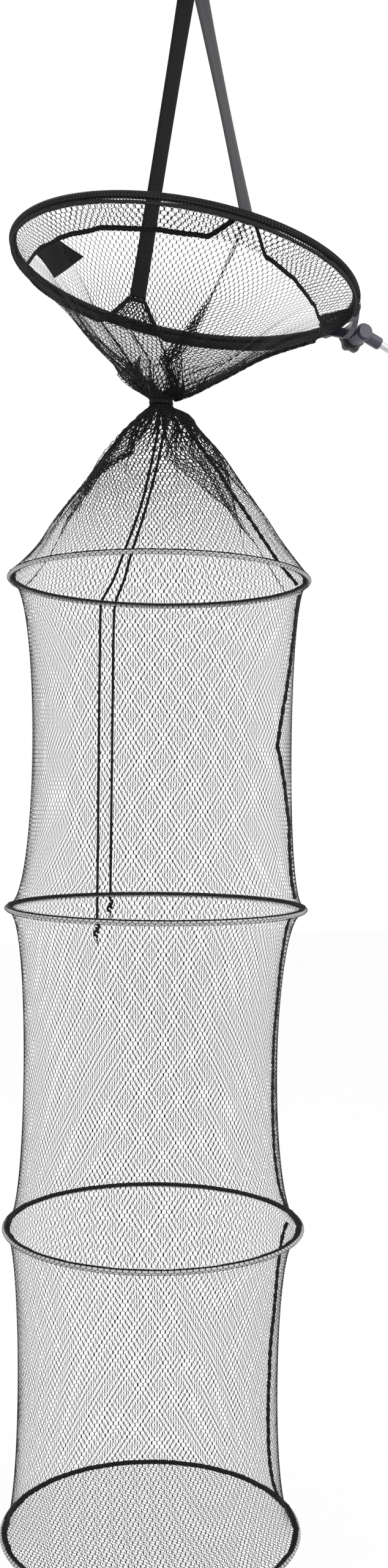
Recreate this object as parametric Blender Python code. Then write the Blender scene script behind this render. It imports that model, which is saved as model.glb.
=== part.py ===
# Keep net, hanging from its carry strap: head ring with an angle lock for a bank stick, a tied
# neck, four hoops and a flat base. Metres, +Z up. The origin is the hanging point, inside the
# top of the strap. +X points to the angle lock, and Y runs along the strap from side to side.
import math

import bmesh
import bpy
from mathutils import Euler, Matrix, Vector

# Head ring and its pose
head_ring_diameter = 0.458
head_tube_radius = 0.004
head_ring_offset = -0.007
head_ring_drop = 0.409
head_tilt = math.radians(9.9)
head_pitch = math.radians(-1.3)

# Hoops and net body
hoop_diameter = 0.3932
hoop_rod_radius = 0.0025
net_axis_offset = -0.038
neck_drop = 0.581
first_hoop_drop = 0.815
section_lengths = (0.431, 0.422, 0.406)
first_hoop_lean = (math.radians(-3.9), math.radians(1.4), 0.0)
waist_depth = 0.035
waist_bend_share = 0.43

# Netting and its edges
netting_thickness = 0.0008
net_strand_width = 0.003
fit_gap = 0.0003
casing_thickness = 0.0006
casing_lip = 0.0055
lip_slit = 0.0003
hem_width = 0.006
hem_thickness = 0.0018
near_pull_width = math.radians(9)
far_pull_width = math.radians(11)
pull_curve = 1.2
swing_room = math.radians(18)
collar_width = 0.054
collar_drop = 0.0024
seam_width = 0.005
seam_thickness = 0.0012
seam_trim = 0.12
seam_gap = 0.0005
base_pitch = 0.040
base_bar = 0.0016
base_thickness = 0.0012
base_rim = 0.004

# Strap
strap_width = 0.025
strap_thickness = 0.0016
strap_end_inset = 0.0125
near_end_rise = 0.004
far_end_rise = 0.033
hang_bar_radius = 0.006
near_leg_twist = math.radians(27)
far_leg_twist = math.radians(8)
leg_shares = (0, 0.06, 0.14, 0.24, 0.36, 0.5, 0.64, 0.78, 0.9, 1)

# Neck and drawstring
neck_radius = 0.0145
neck_band_height = 0.012
neck_cord_radius = 0.002
neck_waist_radius = 0.0095
cord_radius = 0.002
knot_radius = 0.0042
knot_length = 0.016
tail_length = 0.011
knot_outline_shares = ((0.22, 0.9), (0.5, 1), (0.8, 0.85))

# Angle lock
knob_clearance = 0.00295
lock_drop = 0.010
stud_droop = math.radians(14)
cap_radius = 0.0100
cap_thickness = 0.004
cap_dome = 0.0008
barrel_radius = 0.012
barrel_width = 0.0176
lug_width = 0.0134
lug_radius = 0.011
socket_radius = 0.0085
socket_mouth_radius = 0.0078
socket_reach = 0.030
stud_radius = 0.00475
stud_length = 0.036
stud_inside = 0.014
stud_chamfer = 0.0012
bolt_radius = 0.003
bolt_head_radius = 0.006
bolt_head_thickness = 0.003
knob_radius = 0.0165
knob_lobe_depth = 0.0016
knob_lobes = 6
knob_thickness = 0.011
knob_boss_radius = 0.009
knob_boss_length = 0.004
knob_edge = 0.002
insert_radius = 0.0052
insert_length = 0.009
foot_angle = math.radians(11)
foot_length = 0.014
foot_wall = 0.005
foot_hook = 0.004
foot_skirt = 0.004
leg_width = 0.0075
leg_foot_height = 0.010
leg_lug_height = 0.014
leg_clearance = 0.00075
near_leg_turn = 0.025
far_leg_gap = 0.00138
arm_width = 0.011
arm_height = 0.0125
edge_bevel = 0.0008

# Label flap
label_size = 0.036
label_thickness = 0.001
label_angle = math.radians(-166)
label_lean = 0.06

# How finely round things are divided
head_steps = 40
hoop_steps = 24
neck_steps = 20
knot_steps = 10
bolt_steps = 24
lug_steps = 28
barrel_steps = 32
cone_bands = 2
section_shares = (0, 0.04, 0.15, 0.32, 0.5, 0.68, 0.85, 0.96, 1)
cord_points = 36
route_parts = 20
hem_steps = 36
strap_end_steps = (-12, -7.5, -5, -3.3, 3.3, 5, 7.5, 12)
strap_bend_steps = 3
bow_points = 6
knob_lobe_steps = 6
seam_parts = 3
smooth_angle = math.radians(40)
merge_gap = 0.000003
cut_overrun = 0.004

# How far the collar reaches, from the angle lock round by the far strap end, every 15 degrees
collar_shares = (
    0.70, 0.40, 0.22, 0.18, 0.16, 0.16, 0.16, 0.16, 0.16, 0.22, 0.38, 0.56,
    0.64, 0.66, 0.62, 0.58, 0.60, 0.56, 0.50, 0.62, 0.80, 0.92, 0.94, 0.84,
)

far_side = 1
near_side = -1
up = Vector((0, 0, 1))


def clear_scene():
    for item in list(bpy.data.objects):
        bpy.data.objects.remove(item, do_unlink=True)


def finish(name, colour, roughness, metallic=0.0):
    material = bpy.data.materials.new(name)
    material.use_nodes = True
    shader = material.node_tree.nodes["Principled BSDF"]
    shader.inputs["Base Color"].default_value = (*colour, 1)
    shader.inputs["Roughness"].default_value = roughness
    shader.inputs["Metallic"].default_value = metallic
    return material


def empty(name, parent=None, location=(0, 0, 0), rotation=(0, 0, 0)):
    item = bpy.data.objects.new(name, None)
    item.location = location
    item.rotation_euler = rotation
    item.parent = parent
    item.empty_display_size = knob_radius
    bpy.context.collection.objects.link(item)
    return item


def place(name, bm, material, parent=None, smooth=True):
    bmesh.ops.recalc_face_normals(bm, faces=bm.faces)
    mesh = bpy.data.meshes.new(name)
    bm.to_mesh(mesh)
    bm.free()
    mesh.materials.append(material)
    if smooth:
        mesh.shade_smooth()
        mesh.set_sharp_from_angle(angle=smooth_angle)
    item = bpy.data.objects.new(name, mesh)
    item.parent = parent
    bpy.context.collection.objects.link(item)
    return item


def skin(loops, joined=False, capped=True):
    """A surface through loops of points, joined end to start or closed by a face at each end."""
    bm = bmesh.new()
    rows = [[bm.verts.new(point) for point in loop] for loop in loops]
    pairs = list(zip(rows, rows[1:]))
    if joined:
        pairs.append((rows[-1], rows[0]))
    for first, second in pairs:
        for i in range(len(first)):
            j = (i + 1) % len(first)
            bm.faces.new((first[i], first[j], second[j], second[i]))
    if capped and not joined:
        bm.faces.new(list(reversed(rows[0])))
        bm.faces.new(rows[-1])
    return bm


def turned(profile, steps, closed=True):
    """A profile of (radius, height) points spun round Z. An open one starts and ends on the axis."""
    bm = bmesh.new()
    corners = [bm.verts.new((radius, 0, height)) for radius, height in profile]
    edges = [bm.edges.new(pair) for pair in zip(corners, corners[1:])]
    if closed:
        edges.append(bm.edges.new((corners[-1], corners[0])))
    bmesh.ops.spin(
        bm, geom=corners + edges, axis=up, cent=Vector(), angle=math.tau, steps=steps, use_merge=True
    )
    bmesh.ops.remove_doubles(bm, verts=bm.verts, dist=merge_gap)
    return bm


def arc(radius, start, end, count):
    """Points on a circle in a section: 0 degrees is outward, 90 degrees is up."""
    steps = [start + (end - start) * i / (count - 1) for i in range(count)]
    return [(radius * math.cos(math.radians(a)), radius * math.sin(math.radians(a))) for a in steps]


def circle(centre, radius, steps, lean=None):
    """A loop of points round a centre, level or leaning with a rotation."""
    points = []
    for i in range(steps):
        angle = math.tau * i / steps
        point = Vector((radius * math.cos(angle), radius * math.sin(angle), 0))
        points.append(Vector(centre) + (lean @ point if lean else point))
    return points


def thicken(item, thickness, side=-1):
    wall = item.modifiers.new("wall", "SOLIDIFY")
    wall.thickness = thickness
    wall.offset = side
    wall.use_even_offset = True


def cut(item, cutter, operation="DIFFERENCE"):
    cutter.display_type = "WIRE"
    cutter.hide_render = True
    change = item.modifiers.new("cut", "BOOLEAN")
    change.operation = operation
    change.solver = "EXACT"
    change.object = cutter


def bar_loop(centre, across, height, width, thickness):
    """Four corners of a bar's section, width across and thickness along height."""
    half_width, half_thickness = across * (width / 2), height * (thickness / 2)
    return [
        centre - half_width - half_thickness,
        centre + half_width - half_thickness,
        centre + half_width + half_thickness,
        centre - half_width + half_thickness,
    ]


def head_rotation():
    return Euler((head_pitch, head_tilt, 0)).to_matrix()


def hoop_lean(index):
    return Euler(first_hoop_lean if index == 0 else (0, 0, 0)).to_matrix()


def hoop_centre(index):
    return Vector((net_axis_offset, 0, -first_hoop_drop - sum(section_lengths[:index])))


head_centre = Vector((head_ring_offset, 0, -head_ring_drop))
neck_centre = Vector((net_axis_offset, 0, -neck_drop))
head_radius = head_ring_diameter / 2
hoop_radius = hoop_diameter / 2
head_casing_inner = head_tube_radius + fit_gap
head_casing_outer = head_casing_inner + netting_thickness
hoop_casing_inner = hoop_rod_radius + fit_gap
hoop_casing_outer = hoop_casing_inner + casing_thickness
lip_bottom = -head_casing_outer - casing_lip
cone_top_radius = head_radius + lip_slit + netting_thickness
neck_half = neck_band_height / 2 + fit_gap
casing_reach = hoop_casing_outer / math.cos(math.pi / 5) + fit_gap
foot_outside = head_radius + head_casing_outer / math.cos(math.pi / 8) + fit_gap
strap_end_radius = head_radius - strap_end_inset
far_leg_line = foot_outside + far_leg_gap
lock_reach = far_leg_line + leg_width / 2 + knob_radius + knob_lobe_depth + knob_clearance
leg_line = lock_reach - barrel_radius - leg_clearance - leg_width / 2


def on_head(point):
    """A point given in the head ring's own axes, in the part's axes."""
    return head_centre + head_rotation() @ Vector(point)


def strap_end(side):
    rise = far_end_rise if side == far_side else near_end_rise
    return on_head((0, side * strap_end_radius, rise))


def in_head(point):
    """A point given in the part's axes, in the head ring's own axes."""
    return head_rotation().inverted() @ (Vector(point) - head_centre)


def cone_line(angle):
    """Where the upper cone leaves the ring at an angle, its way down to the neck and its inside."""
    around = Vector((math.cos(angle), math.sin(angle), 0))
    start = on_head(around * cone_top_radius + up * (lip_bottom - fit_gap))
    down = (neck_centre + up * neck_half + around * neck_radius - start).normalized()
    along_ring = head_rotation() @ Vector((-around.y, around.x, 0))
    inward = down.cross(along_ring).normalized()
    if inward.dot(head_rotation() @ around) > 0:
        inward = -inward
    return start, down, inward


def collar_reach(angle):
    """How far down the cone the collar reaches: a share of its width, read round the ring."""
    turn = angle / math.tau % 1 * len(collar_shares)
    low = int(turn)
    first, second = collar_shares[low % len(collar_shares)], collar_shares[(low + 1) % len(collar_shares)]
    return collar_width * (first + (second - first) * (turn - low))


def strap_pull(angle):
    """How far the hem is drawn to a strap end at an angle round the ring, and that end's height."""
    side = far_side if math.sin(angle) > 0 else near_side
    apart = abs(math.atan2(math.cos(angle), abs(math.sin(angle))))
    flat = strap_width / 2 / strap_end_radius
    width = far_pull_width if side == far_side else near_pull_width
    rise = far_end_rise if side == far_side else near_end_rise
    # the hem falls away on both sides of the strap's middle, which leaves the head room to swing
    rise -= strap_end_radius * math.sin(apart) * math.tan(swing_room)
    return max(0, 1 - max(0, apart - flat) / width) ** pull_curve, rise


def hem_place(angle):
    """Middle of the hem ribbon at an angle, with the way across its width and out of its face."""
    start, down, inward = cone_line(angle)
    lift = netting_thickness + fit_gap
    reach = collar_reach(angle) + fit_gap + hem_width / 2
    hanging = start + down * reach + inward * (lift + hem_thickness / 2)
    share, rise = strap_pull(angle)
    around = Vector((math.cos(angle), math.sin(angle), 0))
    under_strap = rise - fit_gap - strap_thickness / 2 - hem_width / 2
    drawn = on_head(around * strap_end_radius + up * under_strap)
    across = down.lerp(head_rotation() @ -up, share).normalized()
    face = inward.lerp(head_rotation() @ -around, share)
    face = (face - across * face.dot(across)).normalized()
    return hanging.lerp(drawn, share), across, face


def hem_angles():
    """Even steps round the ring, with closer ones where the strap ends draw the hem up."""
    angles = [math.tau * i / hem_steps for i in range(hem_steps)]
    for end in (math.pi / 2, -math.pi / 2):
        angles += [end + math.radians(step) for step in strap_end_steps]
    return sorted(angle % math.tau for angle in angles)


def carry_strap(material):
    """One band: up the near leg, over the hanging bar and down the far leg."""
    arc_radius = hang_bar_radius + strap_thickness / 2
    top = Vector((0, 0, -hang_bar_radius))
    ends = {side: strap_end(side) for side in (near_side, far_side)}
    loops = []
    for side, twist in ((near_side, near_leg_twist), (far_side, far_leg_twist)):
        foot = ends[side]
        spread = math.atan2(abs(foot.y), top.z - foot.z)
        reach = Vector((0, foot.y, foot.z - top.z)).length
        slope = spread + math.asin(arc_radius / reach)
        leave = top + Vector((0, side * arc_radius * math.cos(slope), arc_radius * math.sin(slope)))
        leg = []
        for share in leg_shares:
            turn = twist * math.sin(math.pi * min(1, share * 2, (1 - share) * 3) / 2)
            middle = foot.lerp(leave, share)
            along = (leave - foot).normalized()
            across = Matrix.Rotation(turn, 3, "Z") @ Vector((1, 0, 0))
            across = (across - along * across.dot(along)).normalized()
            face = across.cross(along)
            if share == 0:
                # the end is cut on the slant, in line with the ring that it is sewn to
                across = head_rotation() @ Vector((1, 0, 0))
            leg.append(bar_loop(middle, across, face, strap_width, strap_thickness))
        bend = []
        for i in range(1, strap_bend_steps + 1):
            angle = slope + (math.pi / 2 - slope) * i / strap_bend_steps
            out = Vector((0, side * math.cos(angle), math.sin(angle)))
            along = Vector((0, -side * math.sin(angle), math.cos(angle)))
            across = Vector((1, 0, 0))
            centre = top + out * arc_radius
            bend.append(bar_loop(centre, across, across.cross(along), strap_width, strap_thickness))
        loops.append(leg + bend)
    near_leg, far_leg = loops
    # the far leg is walked downwards, so its sections turn over to match the near leg's
    turned_over = [[loop[3], loop[2], loop[1], loop[0]] for loop in reversed(far_leg[:-1])]
    return place("carry_strap", skin(near_leg + turned_over), material, smooth=False)


def head_ring(material, frame):
    tube = [
        (head_radius + r, z) for r, z in arc(head_tube_radius, 22.5, 337.5, 8)
    ]
    return place("head_ring", turned(tube, head_steps), material, frame)


def head_casing(material, frame):
    """Netting folded over the tube from both sides, its two layers stitched together below it."""
    inner_arc = arc(head_casing_inner / math.cos(math.pi / 8), -22.5, 202.5, 6)
    outer_arc = arc(head_casing_outer / math.cos(math.pi / 8), 202.5, -22.5, 6)
    slit = lip_slit
    inner = [(slit, -head_casing_outer), *inner_arc, (-slit, -head_casing_outer)]
    outer = [(-slit - netting_thickness, -head_casing_outer), *outer_arc]
    outer.append((slit + netting_thickness, -head_casing_outer))
    left = [(-slit, lip_bottom), (-slit - netting_thickness, lip_bottom)]
    right = [(slit + netting_thickness, lip_bottom), (slit, lip_bottom)]
    profile = inner + left + outer + right
    profile = [(head_radius + r, z) for r, z in profile]
    return place("head_casing", turned(profile, head_steps), material, frame)


def collar(material, frame):
    """The inner layer of netting: from under the stitched lip down the cone to the hem ribbon."""
    inverse = frame.matrix_world.inverted()
    sections = []
    for angle in hem_angles():
        start, down, inward = cone_line(angle)
        hem = (hem_place(angle)[0] - start).dot(down) - hem_width / 2 - fit_gap
        top = start + down * collar_drop + inward * (netting_thickness + fit_gap)
        low = top + down * max(hem - collar_drop, netting_thickness)
        wall = inward * netting_thickness
        sections.append([inverse @ point for point in (top, low, low + wall, top + wall)])
    return place("collar", skin(sections, joined=True), material, frame)


def hem_ribbon(material, frame):
    """A ribbon along the collar's edge, drawn up to both strap ends."""
    inverse = frame.matrix_world.inverted()
    turn = inverse.to_3x3()
    loops = []
    for angle in hem_angles():
        centre, across, face = hem_place(angle)
        loops.append(bar_loop(inverse @ centre, turn @ across, turn @ face, hem_width, hem_thickness))
    return place("hem_ribbon", skin(loops, joined=True), material, frame, smooth=False)


def strap_gusset(material, frame):
    """Doubled netting that stands from the ring's inner side up to the hem at the far strap end."""
    casing_inside = head_radius - head_casing_outer / math.cos(math.pi / 8) - fit_gap
    sections = []
    for angle in hem_angles():
        centre, across, face = hem_place(angle)
        edge = in_head(centre + across * (hem_width / 2 + 2 * fit_gap))
        if edge.z < hem_width / 2:
            continue
        around = Vector((math.cos(angle), math.sin(angle), 0))
        foot = around * casing_inside
        top = around * edge.to_2d().length + up * edge.z
        wall = around * -netting_thickness
        sections.append([foot, top, top + wall, foot + wall])
    return place("strap_gusset", skin(sections), material, frame)


def netting_wall(name, loops, material, parent):
    """A wall of netting through loops given in the part's axes, its thickness on the inside."""
    inverse = parent.matrix_world.inverted()
    inside = []
    for loop in loops:
        centre = sum(loop, Vector()) / len(loop)
        inside.append([point + (centre - point).normalized() * netting_thickness for point in loop])
    rings = [[inverse @ point for point in loop] for loop in loops + list(reversed(inside))]
    return place(name, skin(rings, joined=True), material, parent)


def cone_loops(start, end, count=cone_bands):
    """Loops from one ring of points to another of as many points."""
    loops = []
    for band in range(count + 1):
        share = band / count
        loops.append([a.lerp(b, share) for a, b in zip(start, end)])
    return loops


def upper_cone_loops():
    top = circle(up * (lip_bottom - fit_gap), cone_top_radius, head_steps)
    neck_top = circle(neck_centre + up * neck_half, neck_radius, head_steps)
    return cone_loops([on_head(point) for point in top], neck_top)


def lower_cone_loops():
    neck_bottom = circle(neck_centre - up * neck_half, neck_radius, hoop_steps)
    lean = hoop_lean(0)
    rim = hoop_centre(0) + lean @ (up * casing_reach)
    return cone_loops(neck_bottom, circle(rim, hoop_radius, hoop_steps, lean))


def section_radius(share):
    return hoop_radius - waist_depth * (4 * share * (1 - share)) ** waist_bend_share


def section_frame(index, share):
    """Centre and lean of a net section's ring, from the hoop above to the hoop below."""
    lean_above = hoop_lean(index)
    above = hoop_centre(index) - lean_above @ (up * casing_reach)
    below = hoop_centre(index + 1) + up * casing_reach
    fade = (1 - share) ** 3
    level = Matrix.Identity(3).to_quaternion()
    lean = level.slerp(lean_above.to_quaternion(), fade).to_matrix()
    return above.lerp(below, share), lean


def section_loops(index, shares):
    loops = []
    for share in shares:
        centre, lean = section_frame(index, share)
        loops.append(circle(centre, section_radius(share), hoop_steps, lean))
    return loops


def net_wall(name, loops, material, parent):
    """An open wall of diamond meshes, with one slanting strand in each panel between two loops."""
    inverse = parent.matrix_world.inverted()
    bm = bmesh.new()
    front, back = [], []
    for loop in loops:
        centre = sum(loop, Vector()) / len(loop)
        walls = [(point, point + (centre - point).normalized() * netting_thickness) for point in loop]
        front.append([bm.verts.new(inverse @ outside) for outside, _ in walls])
        back.append([bm.verts.new(inverse @ inside) for _, inside in walls])
    steps, last = len(front[0]), len(loops) - 1
    for row in range(last + 1):
        for column in range(1 - row % 2, steps, 2):
            # a whole diamond round this place, or half of one along the wall's two ends
            corners = [(row, column - 1), (max(row - 1, 0), column)]
            corners += [(row, (column + 1) % steps), (min(row + 1, last), column)]
            outside = [front[r][c] for r, c in corners]
            inside = [back[r][c] for r, c in corners]
            middles = [(a.co + b.co) / 2 for a, b in zip(outside, inside)]
            tip = 1 if row == last else 3
            centre = (middles[0] + middles[2] + middles[tip]) / 3
            if 0 < row < last:
                centre = sum(middles, Vector()) / 4
            strand = (middles[tip] - middles[0]).normalized()
            room = (centre - middles[0]).cross(strand).length
            inset = [bm.verts.new(m.lerp(centre, net_strand_width / 2 / room)) for m in middles]
            for i in range(4):
                j = (i + 1) % 4
                bm.faces.new((outside[i], outside[j], inset[j], inset[i]))
                bm.faces.new((inside[j], inside[i], inset[i], inset[j]))
                if corners[i][0] == corners[j][0]:
                    bm.faces.new((outside[j], outside[i], inside[i], inside[j]))
    return place(name, bm, material, parent)


def strip(name, points, outward, material, parent):
    """A sewn seam: a flat strip along points, its width level and its back to the netting."""
    inverse = parent.matrix_world.inverted()
    turn = inverse.to_3x3()
    loops = []
    for i, point in enumerate(points):
        before, after = points[max(i - 1, 0)], points[min(i + 1, len(points) - 1)]
        along = (after - before).normalized()
        out = outward[i]
        across = along.cross(out).normalized()
        out = across.cross(along).normalized()
        middle = inverse @ (point + out * (seam_thickness / 2 + seam_gap))
        loops.append(bar_loop(middle, turn @ across, turn @ out, seam_width, seam_thickness))
    return place(name, skin(loops), material, parent, smooth=False)


def seam_points(loops, angles, trim):
    """Points down a netting wall, at angles that drift on the way, with the way out of the wall."""
    steps = len(loops[0])
    centres = [sum(loop, Vector()) / steps for loop in loops]
    drop = centres[0].z - centres[-1].z
    count = (len(loops) - 1) * seam_parts
    rows = [trim] + [i / seam_parts for i in range(1, count)] + [len(loops) - 1 - trim]
    points, outward = [], []
    for row in rows:
        low = int(row)
        depth = (centres[0].z - centres[low].lerp(centres[low + 1], row - low).z) / drop
        spot = depth * (len(angles) - 1)
        near = min(int(spot), len(angles) - 2)
        drift = angles[near] + (angles[near + 1] - angles[near]) * (spot - near)
        column = drift / math.tau * steps
        left = math.floor(column)
        above, below = [
            loop[left % steps].lerp(loop[(left + 1) % steps], column - left)
            for loop in loops[low : low + 2]
        ]
        chord = loops[low][(left + 1) % steps] - loops[low][left % steps]
        points.append(above.lerp(below, row - low))
        outward.append(chord.cross(above - below).normalized())
    return points, outward


upper_seam_angles = tuple(math.radians(a) for a in (15, 12, 8, 4))
lower_seam_angles = tuple(math.radians(a) for a in (18, 8, 3, -2))
section_seam_angles = (
    tuple(math.radians(a) for a in (-8, -14, -16, -15, -6)),
    tuple(math.radians(a) for a in (-6, -9, -5, -1, -3)),
    tuple(math.radians(a) for a in (-4, -7, -3, 2, 3)),
)


def seams(material, head_parent, neck_parent, hoop_parents):
    points, outward = seam_points(upper_cone_loops(), upper_seam_angles, seam_trim)
    strip("seam_upper", points, outward, material, head_parent)
    points, outward = seam_points(lower_cone_loops(), lower_seam_angles, seam_trim)
    strip("seam_lower", points, outward, material, neck_parent)
    for index, angles in enumerate(section_seam_angles):
        points, outward = seam_points(section_loops(index, section_shares), angles, seam_trim)
        strip(f"seam_{index + 1}", points, outward, material, hoop_parents[index])


def hoop(index, material, parent):
    section = [(hoop_radius + r, z) for r, z in arc(hoop_rod_radius, 36, 324, 5)]
    return place(f"hoop_{index + 1}", turned(section, hoop_steps), material, parent)


def hoop_casing(index, material, parent):
    """Netting sewn round the hoop, with its slit on the inner side."""
    share = math.cos(math.pi / 5)
    inner = arc(hoop_casing_inner / share, -144, 144, 5)
    outer = arc(hoop_casing_outer / share, 144, -144, 5)
    profile = [(hoop_radius + r, z) for r, z in inner + outer]
    return place(f"hoop_casing_{index + 1}", turned(profile, hoop_steps), material, parent)


def base_net(material, parent):
    """The flat bottom: a lattice of square gaps inside a rim that reaches into the casing's slit."""
    outer = hoop_radius - hoop_rod_radius - fit_gap
    inner = outer - base_rim
    cells = 2 * math.ceil(inner / base_pitch)
    half = cells * base_pitch / 2
    bm = bmesh.new()
    bmesh.ops.create_grid(bm, x_segments=cells, y_segments=cells, size=half)
    inset = bmesh.ops.inset_individual(bm, faces=bm.faces, thickness=base_bar / 2)
    gaps = [face for face in bm.faces if face not in set(inset["faces"])]
    bmesh.ops.delete(bm, geom=gaps, context="FACES")
    bmesh.ops.rotate(bm, verts=bm.verts, matrix=Matrix.Rotation(math.pi / 4, 3, "Z"))
    item = place("base_net", bm, material, parent, smooth=False)
    thicken(item, base_thickness, side=0)

    half_height = base_thickness / 2
    disc = [(0, -cut_overrun), (inner + base_rim / 2, -cut_overrun)]
    disc += [(inner + base_rim / 2, cut_overrun), (0, cut_overrun)]
    trim = place("base_trim", turned(disc, hoop_steps, closed=False), material, parent)
    cut(item, trim, "INTERSECT")
    rim = [(inner, -half_height), (outer, -half_height), (outer, half_height), (inner, half_height)]
    edge = place("base_rim", turned(rim, hoop_steps), material, parent)
    cut(item, edge, "UNION")
    return item


def neck(netting, cord, parent):
    """The drawn-in netting at the neck and the two turns of cord that hold it shut."""
    half = neck_band_height / 2
    waist = neck_waist_radius
    seat = 2 * neck_cord_radius + fit_gap
    end = neck_radius - netting_thickness - fit_gap
    profile = [(0, half), (end, half), (waist, seat), (waist, -seat), (end, -half), (0, -half)]
    place("neck_gather", turned(profile, neck_steps, closed=False), netting, parent)

    # two turns lie one on the other, drawn as one band with a groove between them
    ring = waist + fit_gap + neck_cord_radius
    band = []
    for height in (neck_cord_radius, -neck_cord_radius):
        turn = arc(neck_cord_radius, 60, -60, 4)
        band += [(ring + r, height + z) for r, z in turn]
    inner = ring - neck_cord_radius
    band += [(inner, -2 * neck_cord_radius), (inner, 2 * neck_cord_radius)]
    place("neck_band", turned(band, neck_steps), cord, parent)


# Places along each drawcord, in the part's axes: from the neck band, down the far side of the
# lower cone, over the first hoop and straight down.
left_cord_route = (
    (-0.0338, 0.0156, -0.5800), (-0.0330, 0.0202, -0.5905), (-0.0318, 0.0272, -0.6000),
    (-0.0303, 0.0380, -0.6142), (-0.0292, 0.0632, -0.6461), (-0.0298, 0.0971, -0.6899),
    (-0.0337, 0.1234, -0.7240), (-0.0401, 0.1504, -0.7590), (-0.0467, 0.1778, -0.7949),
    (-0.0520, 0.1975, -0.8130), (-0.0560, 0.2045, -0.8250), (-0.0572, 0.2062, -0.8400),
    (-0.0576, 0.2062, -0.8800), (-0.0580, 0.2062, -0.9800), (-0.0580, 0.2062, -1.1200),
    (-0.0583, 0.2062, -1.2900),
)
right_cord_route = (
    (-0.0281, 0.0127, -0.5800), (-0.0262, 0.0171, -0.5905), (-0.0242, 0.0242, -0.6000),
    (-0.0223, 0.0355, -0.6142), (-0.0209, 0.0640, -0.6495), (-0.0224, 0.0987, -0.6934),
    (-0.0250, 0.1236, -0.7251), (-0.0289, 0.1497, -0.7585), (-0.0309, 0.1774, -0.7942),
    (-0.0330, 0.1975, -0.8130), (-0.0352, 0.2048, -0.8250), (-0.0366, 0.2066, -0.8400),
    (-0.0372, 0.2067, -0.8700), (-0.0376, 0.2067, -0.9600), (-0.0380, 0.2067, -1.1000),
    (-0.0385, 0.2067, -1.2550),
)


def smooth_route(route, count):
    """Evenly spaced points on a smooth curve through a route."""
    points = [Vector(p) for p in route]
    dense = []
    for i in range(len(points) - 1):
        before = points[max(i - 1, 0)]
        a, b = points[i], points[i + 1]
        after = points[min(i + 2, len(points) - 1)]
        for step in range(route_parts):
            t = step / route_parts
            dense.append(
                0.5
                * (
                    2 * a
                    + (b - before) * t
                    + (2 * before - 5 * a + 4 * b - after) * t * t
                    + (3 * a - before - 3 * b + after) * t * t * t
                )
            )
    dense.append(points[-1])
    walked = [0.0]
    for a, b in zip(dense, dense[1:]):
        walked.append(walked[-1] + (b - a).length)
    even = []
    spot = 0
    for i in range(count):
        target = walked[-1] * i / (count - 1)
        while spot < len(walked) - 2 and walked[spot + 1] < target:
            spot += 1
        span = walked[spot + 1] - walked[spot]
        even.append(dense[spot].lerp(dense[spot + 1], (target - walked[spot]) / span))
    return even, walked[-1]


def drawcord(name, route, material, parent):
    points, length = smooth_route(route, cord_points)
    inverse = parent.matrix_world.inverted()
    curve = bpy.data.curves.new(name, "CURVE")
    curve.dimensions = "3D"
    curve.bevel_depth = cord_radius
    curve.bevel_resolution = 2
    curve.use_fill_caps = True
    spline = curve.splines.new("POLY")
    spline.points.add(len(points) - 1)
    for place_here, point in zip(spline.points, points):
        place_here.co = (*(inverse @ point), 1)
    curve.materials.append(material)
    item = bpy.data.objects.new(name, curve)
    item.parent = parent
    bpy.context.collection.objects.link(item)
    print(f"{name}: {length:.3f} m")
    return item


def cord_knot(name, route, material, parent):
    """An overhand knot as a plump bead, with the cord's tail below it."""
    inverse = parent.matrix_world.inverted()
    top = inverse @ (Vector(route[-1]) - up * fit_gap)
    profile = [(0, 0), (cord_radius, 0)]
    profile += [(knot_radius * wide, -knot_length * low) for low, wide in knot_outline_shares]
    profile += [(cord_radius, -knot_length), (cord_radius, -knot_length - tail_length)]
    profile += [(0, -knot_length - tail_length)]
    item = place(name, turned(profile, knot_steps, closed=False), material, parent)
    item.location = top
    return item


def along_axis(bm):
    """Turns a piece made along Z so that it lies along Y."""
    bmesh.ops.rotate(bm, verts=bm.verts, matrix=Matrix.Rotation(-math.pi / 2, 3, "X"))
    return bm


def shifted(bm, x=0.0, y=0.0, z=0.0):
    bmesh.ops.translate(bm, verts=bm.verts, vec=(x, y, z))
    return bm


lug_face = 0.0
cap_back = lug_face - fit_gap - barrel_width - fit_gap
knob_face = lug_face + lug_width + fit_gap


def rod(radius, start, end, steps=bolt_steps, chamfer=0.0):
    """A round rod along Y from start to end, with chamfered ends."""
    profile = [(0, start), (radius - chamfer, start)]
    if chamfer:
        profile += [(radius, start + chamfer), (radius, end - chamfer)]
    profile += [(radius - chamfer, end), (0, end)] if chamfer else [(radius, end), (0, end)]
    return along_axis(turned(profile, steps, closed=False))


def lock_bolt(steel, plastic, parent):
    """The bolt, its hidden round head and the moulded cap that covers the head."""
    knob_end = knob_face + insert_length - fit_gap
    head_start = cap_back - bolt_head_thickness
    profile = [(0, head_start), (bolt_head_radius, head_start), (bolt_head_radius, cap_back)]
    profile += [(bolt_radius, cap_back), (bolt_radius, knob_end), (0, knob_end)]
    place("lock_bolt", along_axis(turned(profile, bolt_steps, closed=False)), steel, parent)

    face = cap_back - cap_thickness
    pocket = bolt_head_radius + fit_gap
    floor = head_start - fit_gap
    shell = [(0, face), (cap_radius - cap_dome, face), (cap_radius, face + cap_dome)]
    shell += [(cap_radius, cap_back), (pocket, cap_back), (pocket, floor), (0, floor)]
    place("bolt_cap", along_axis(turned(shell, barrel_steps, closed=False)), plastic, parent)


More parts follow.
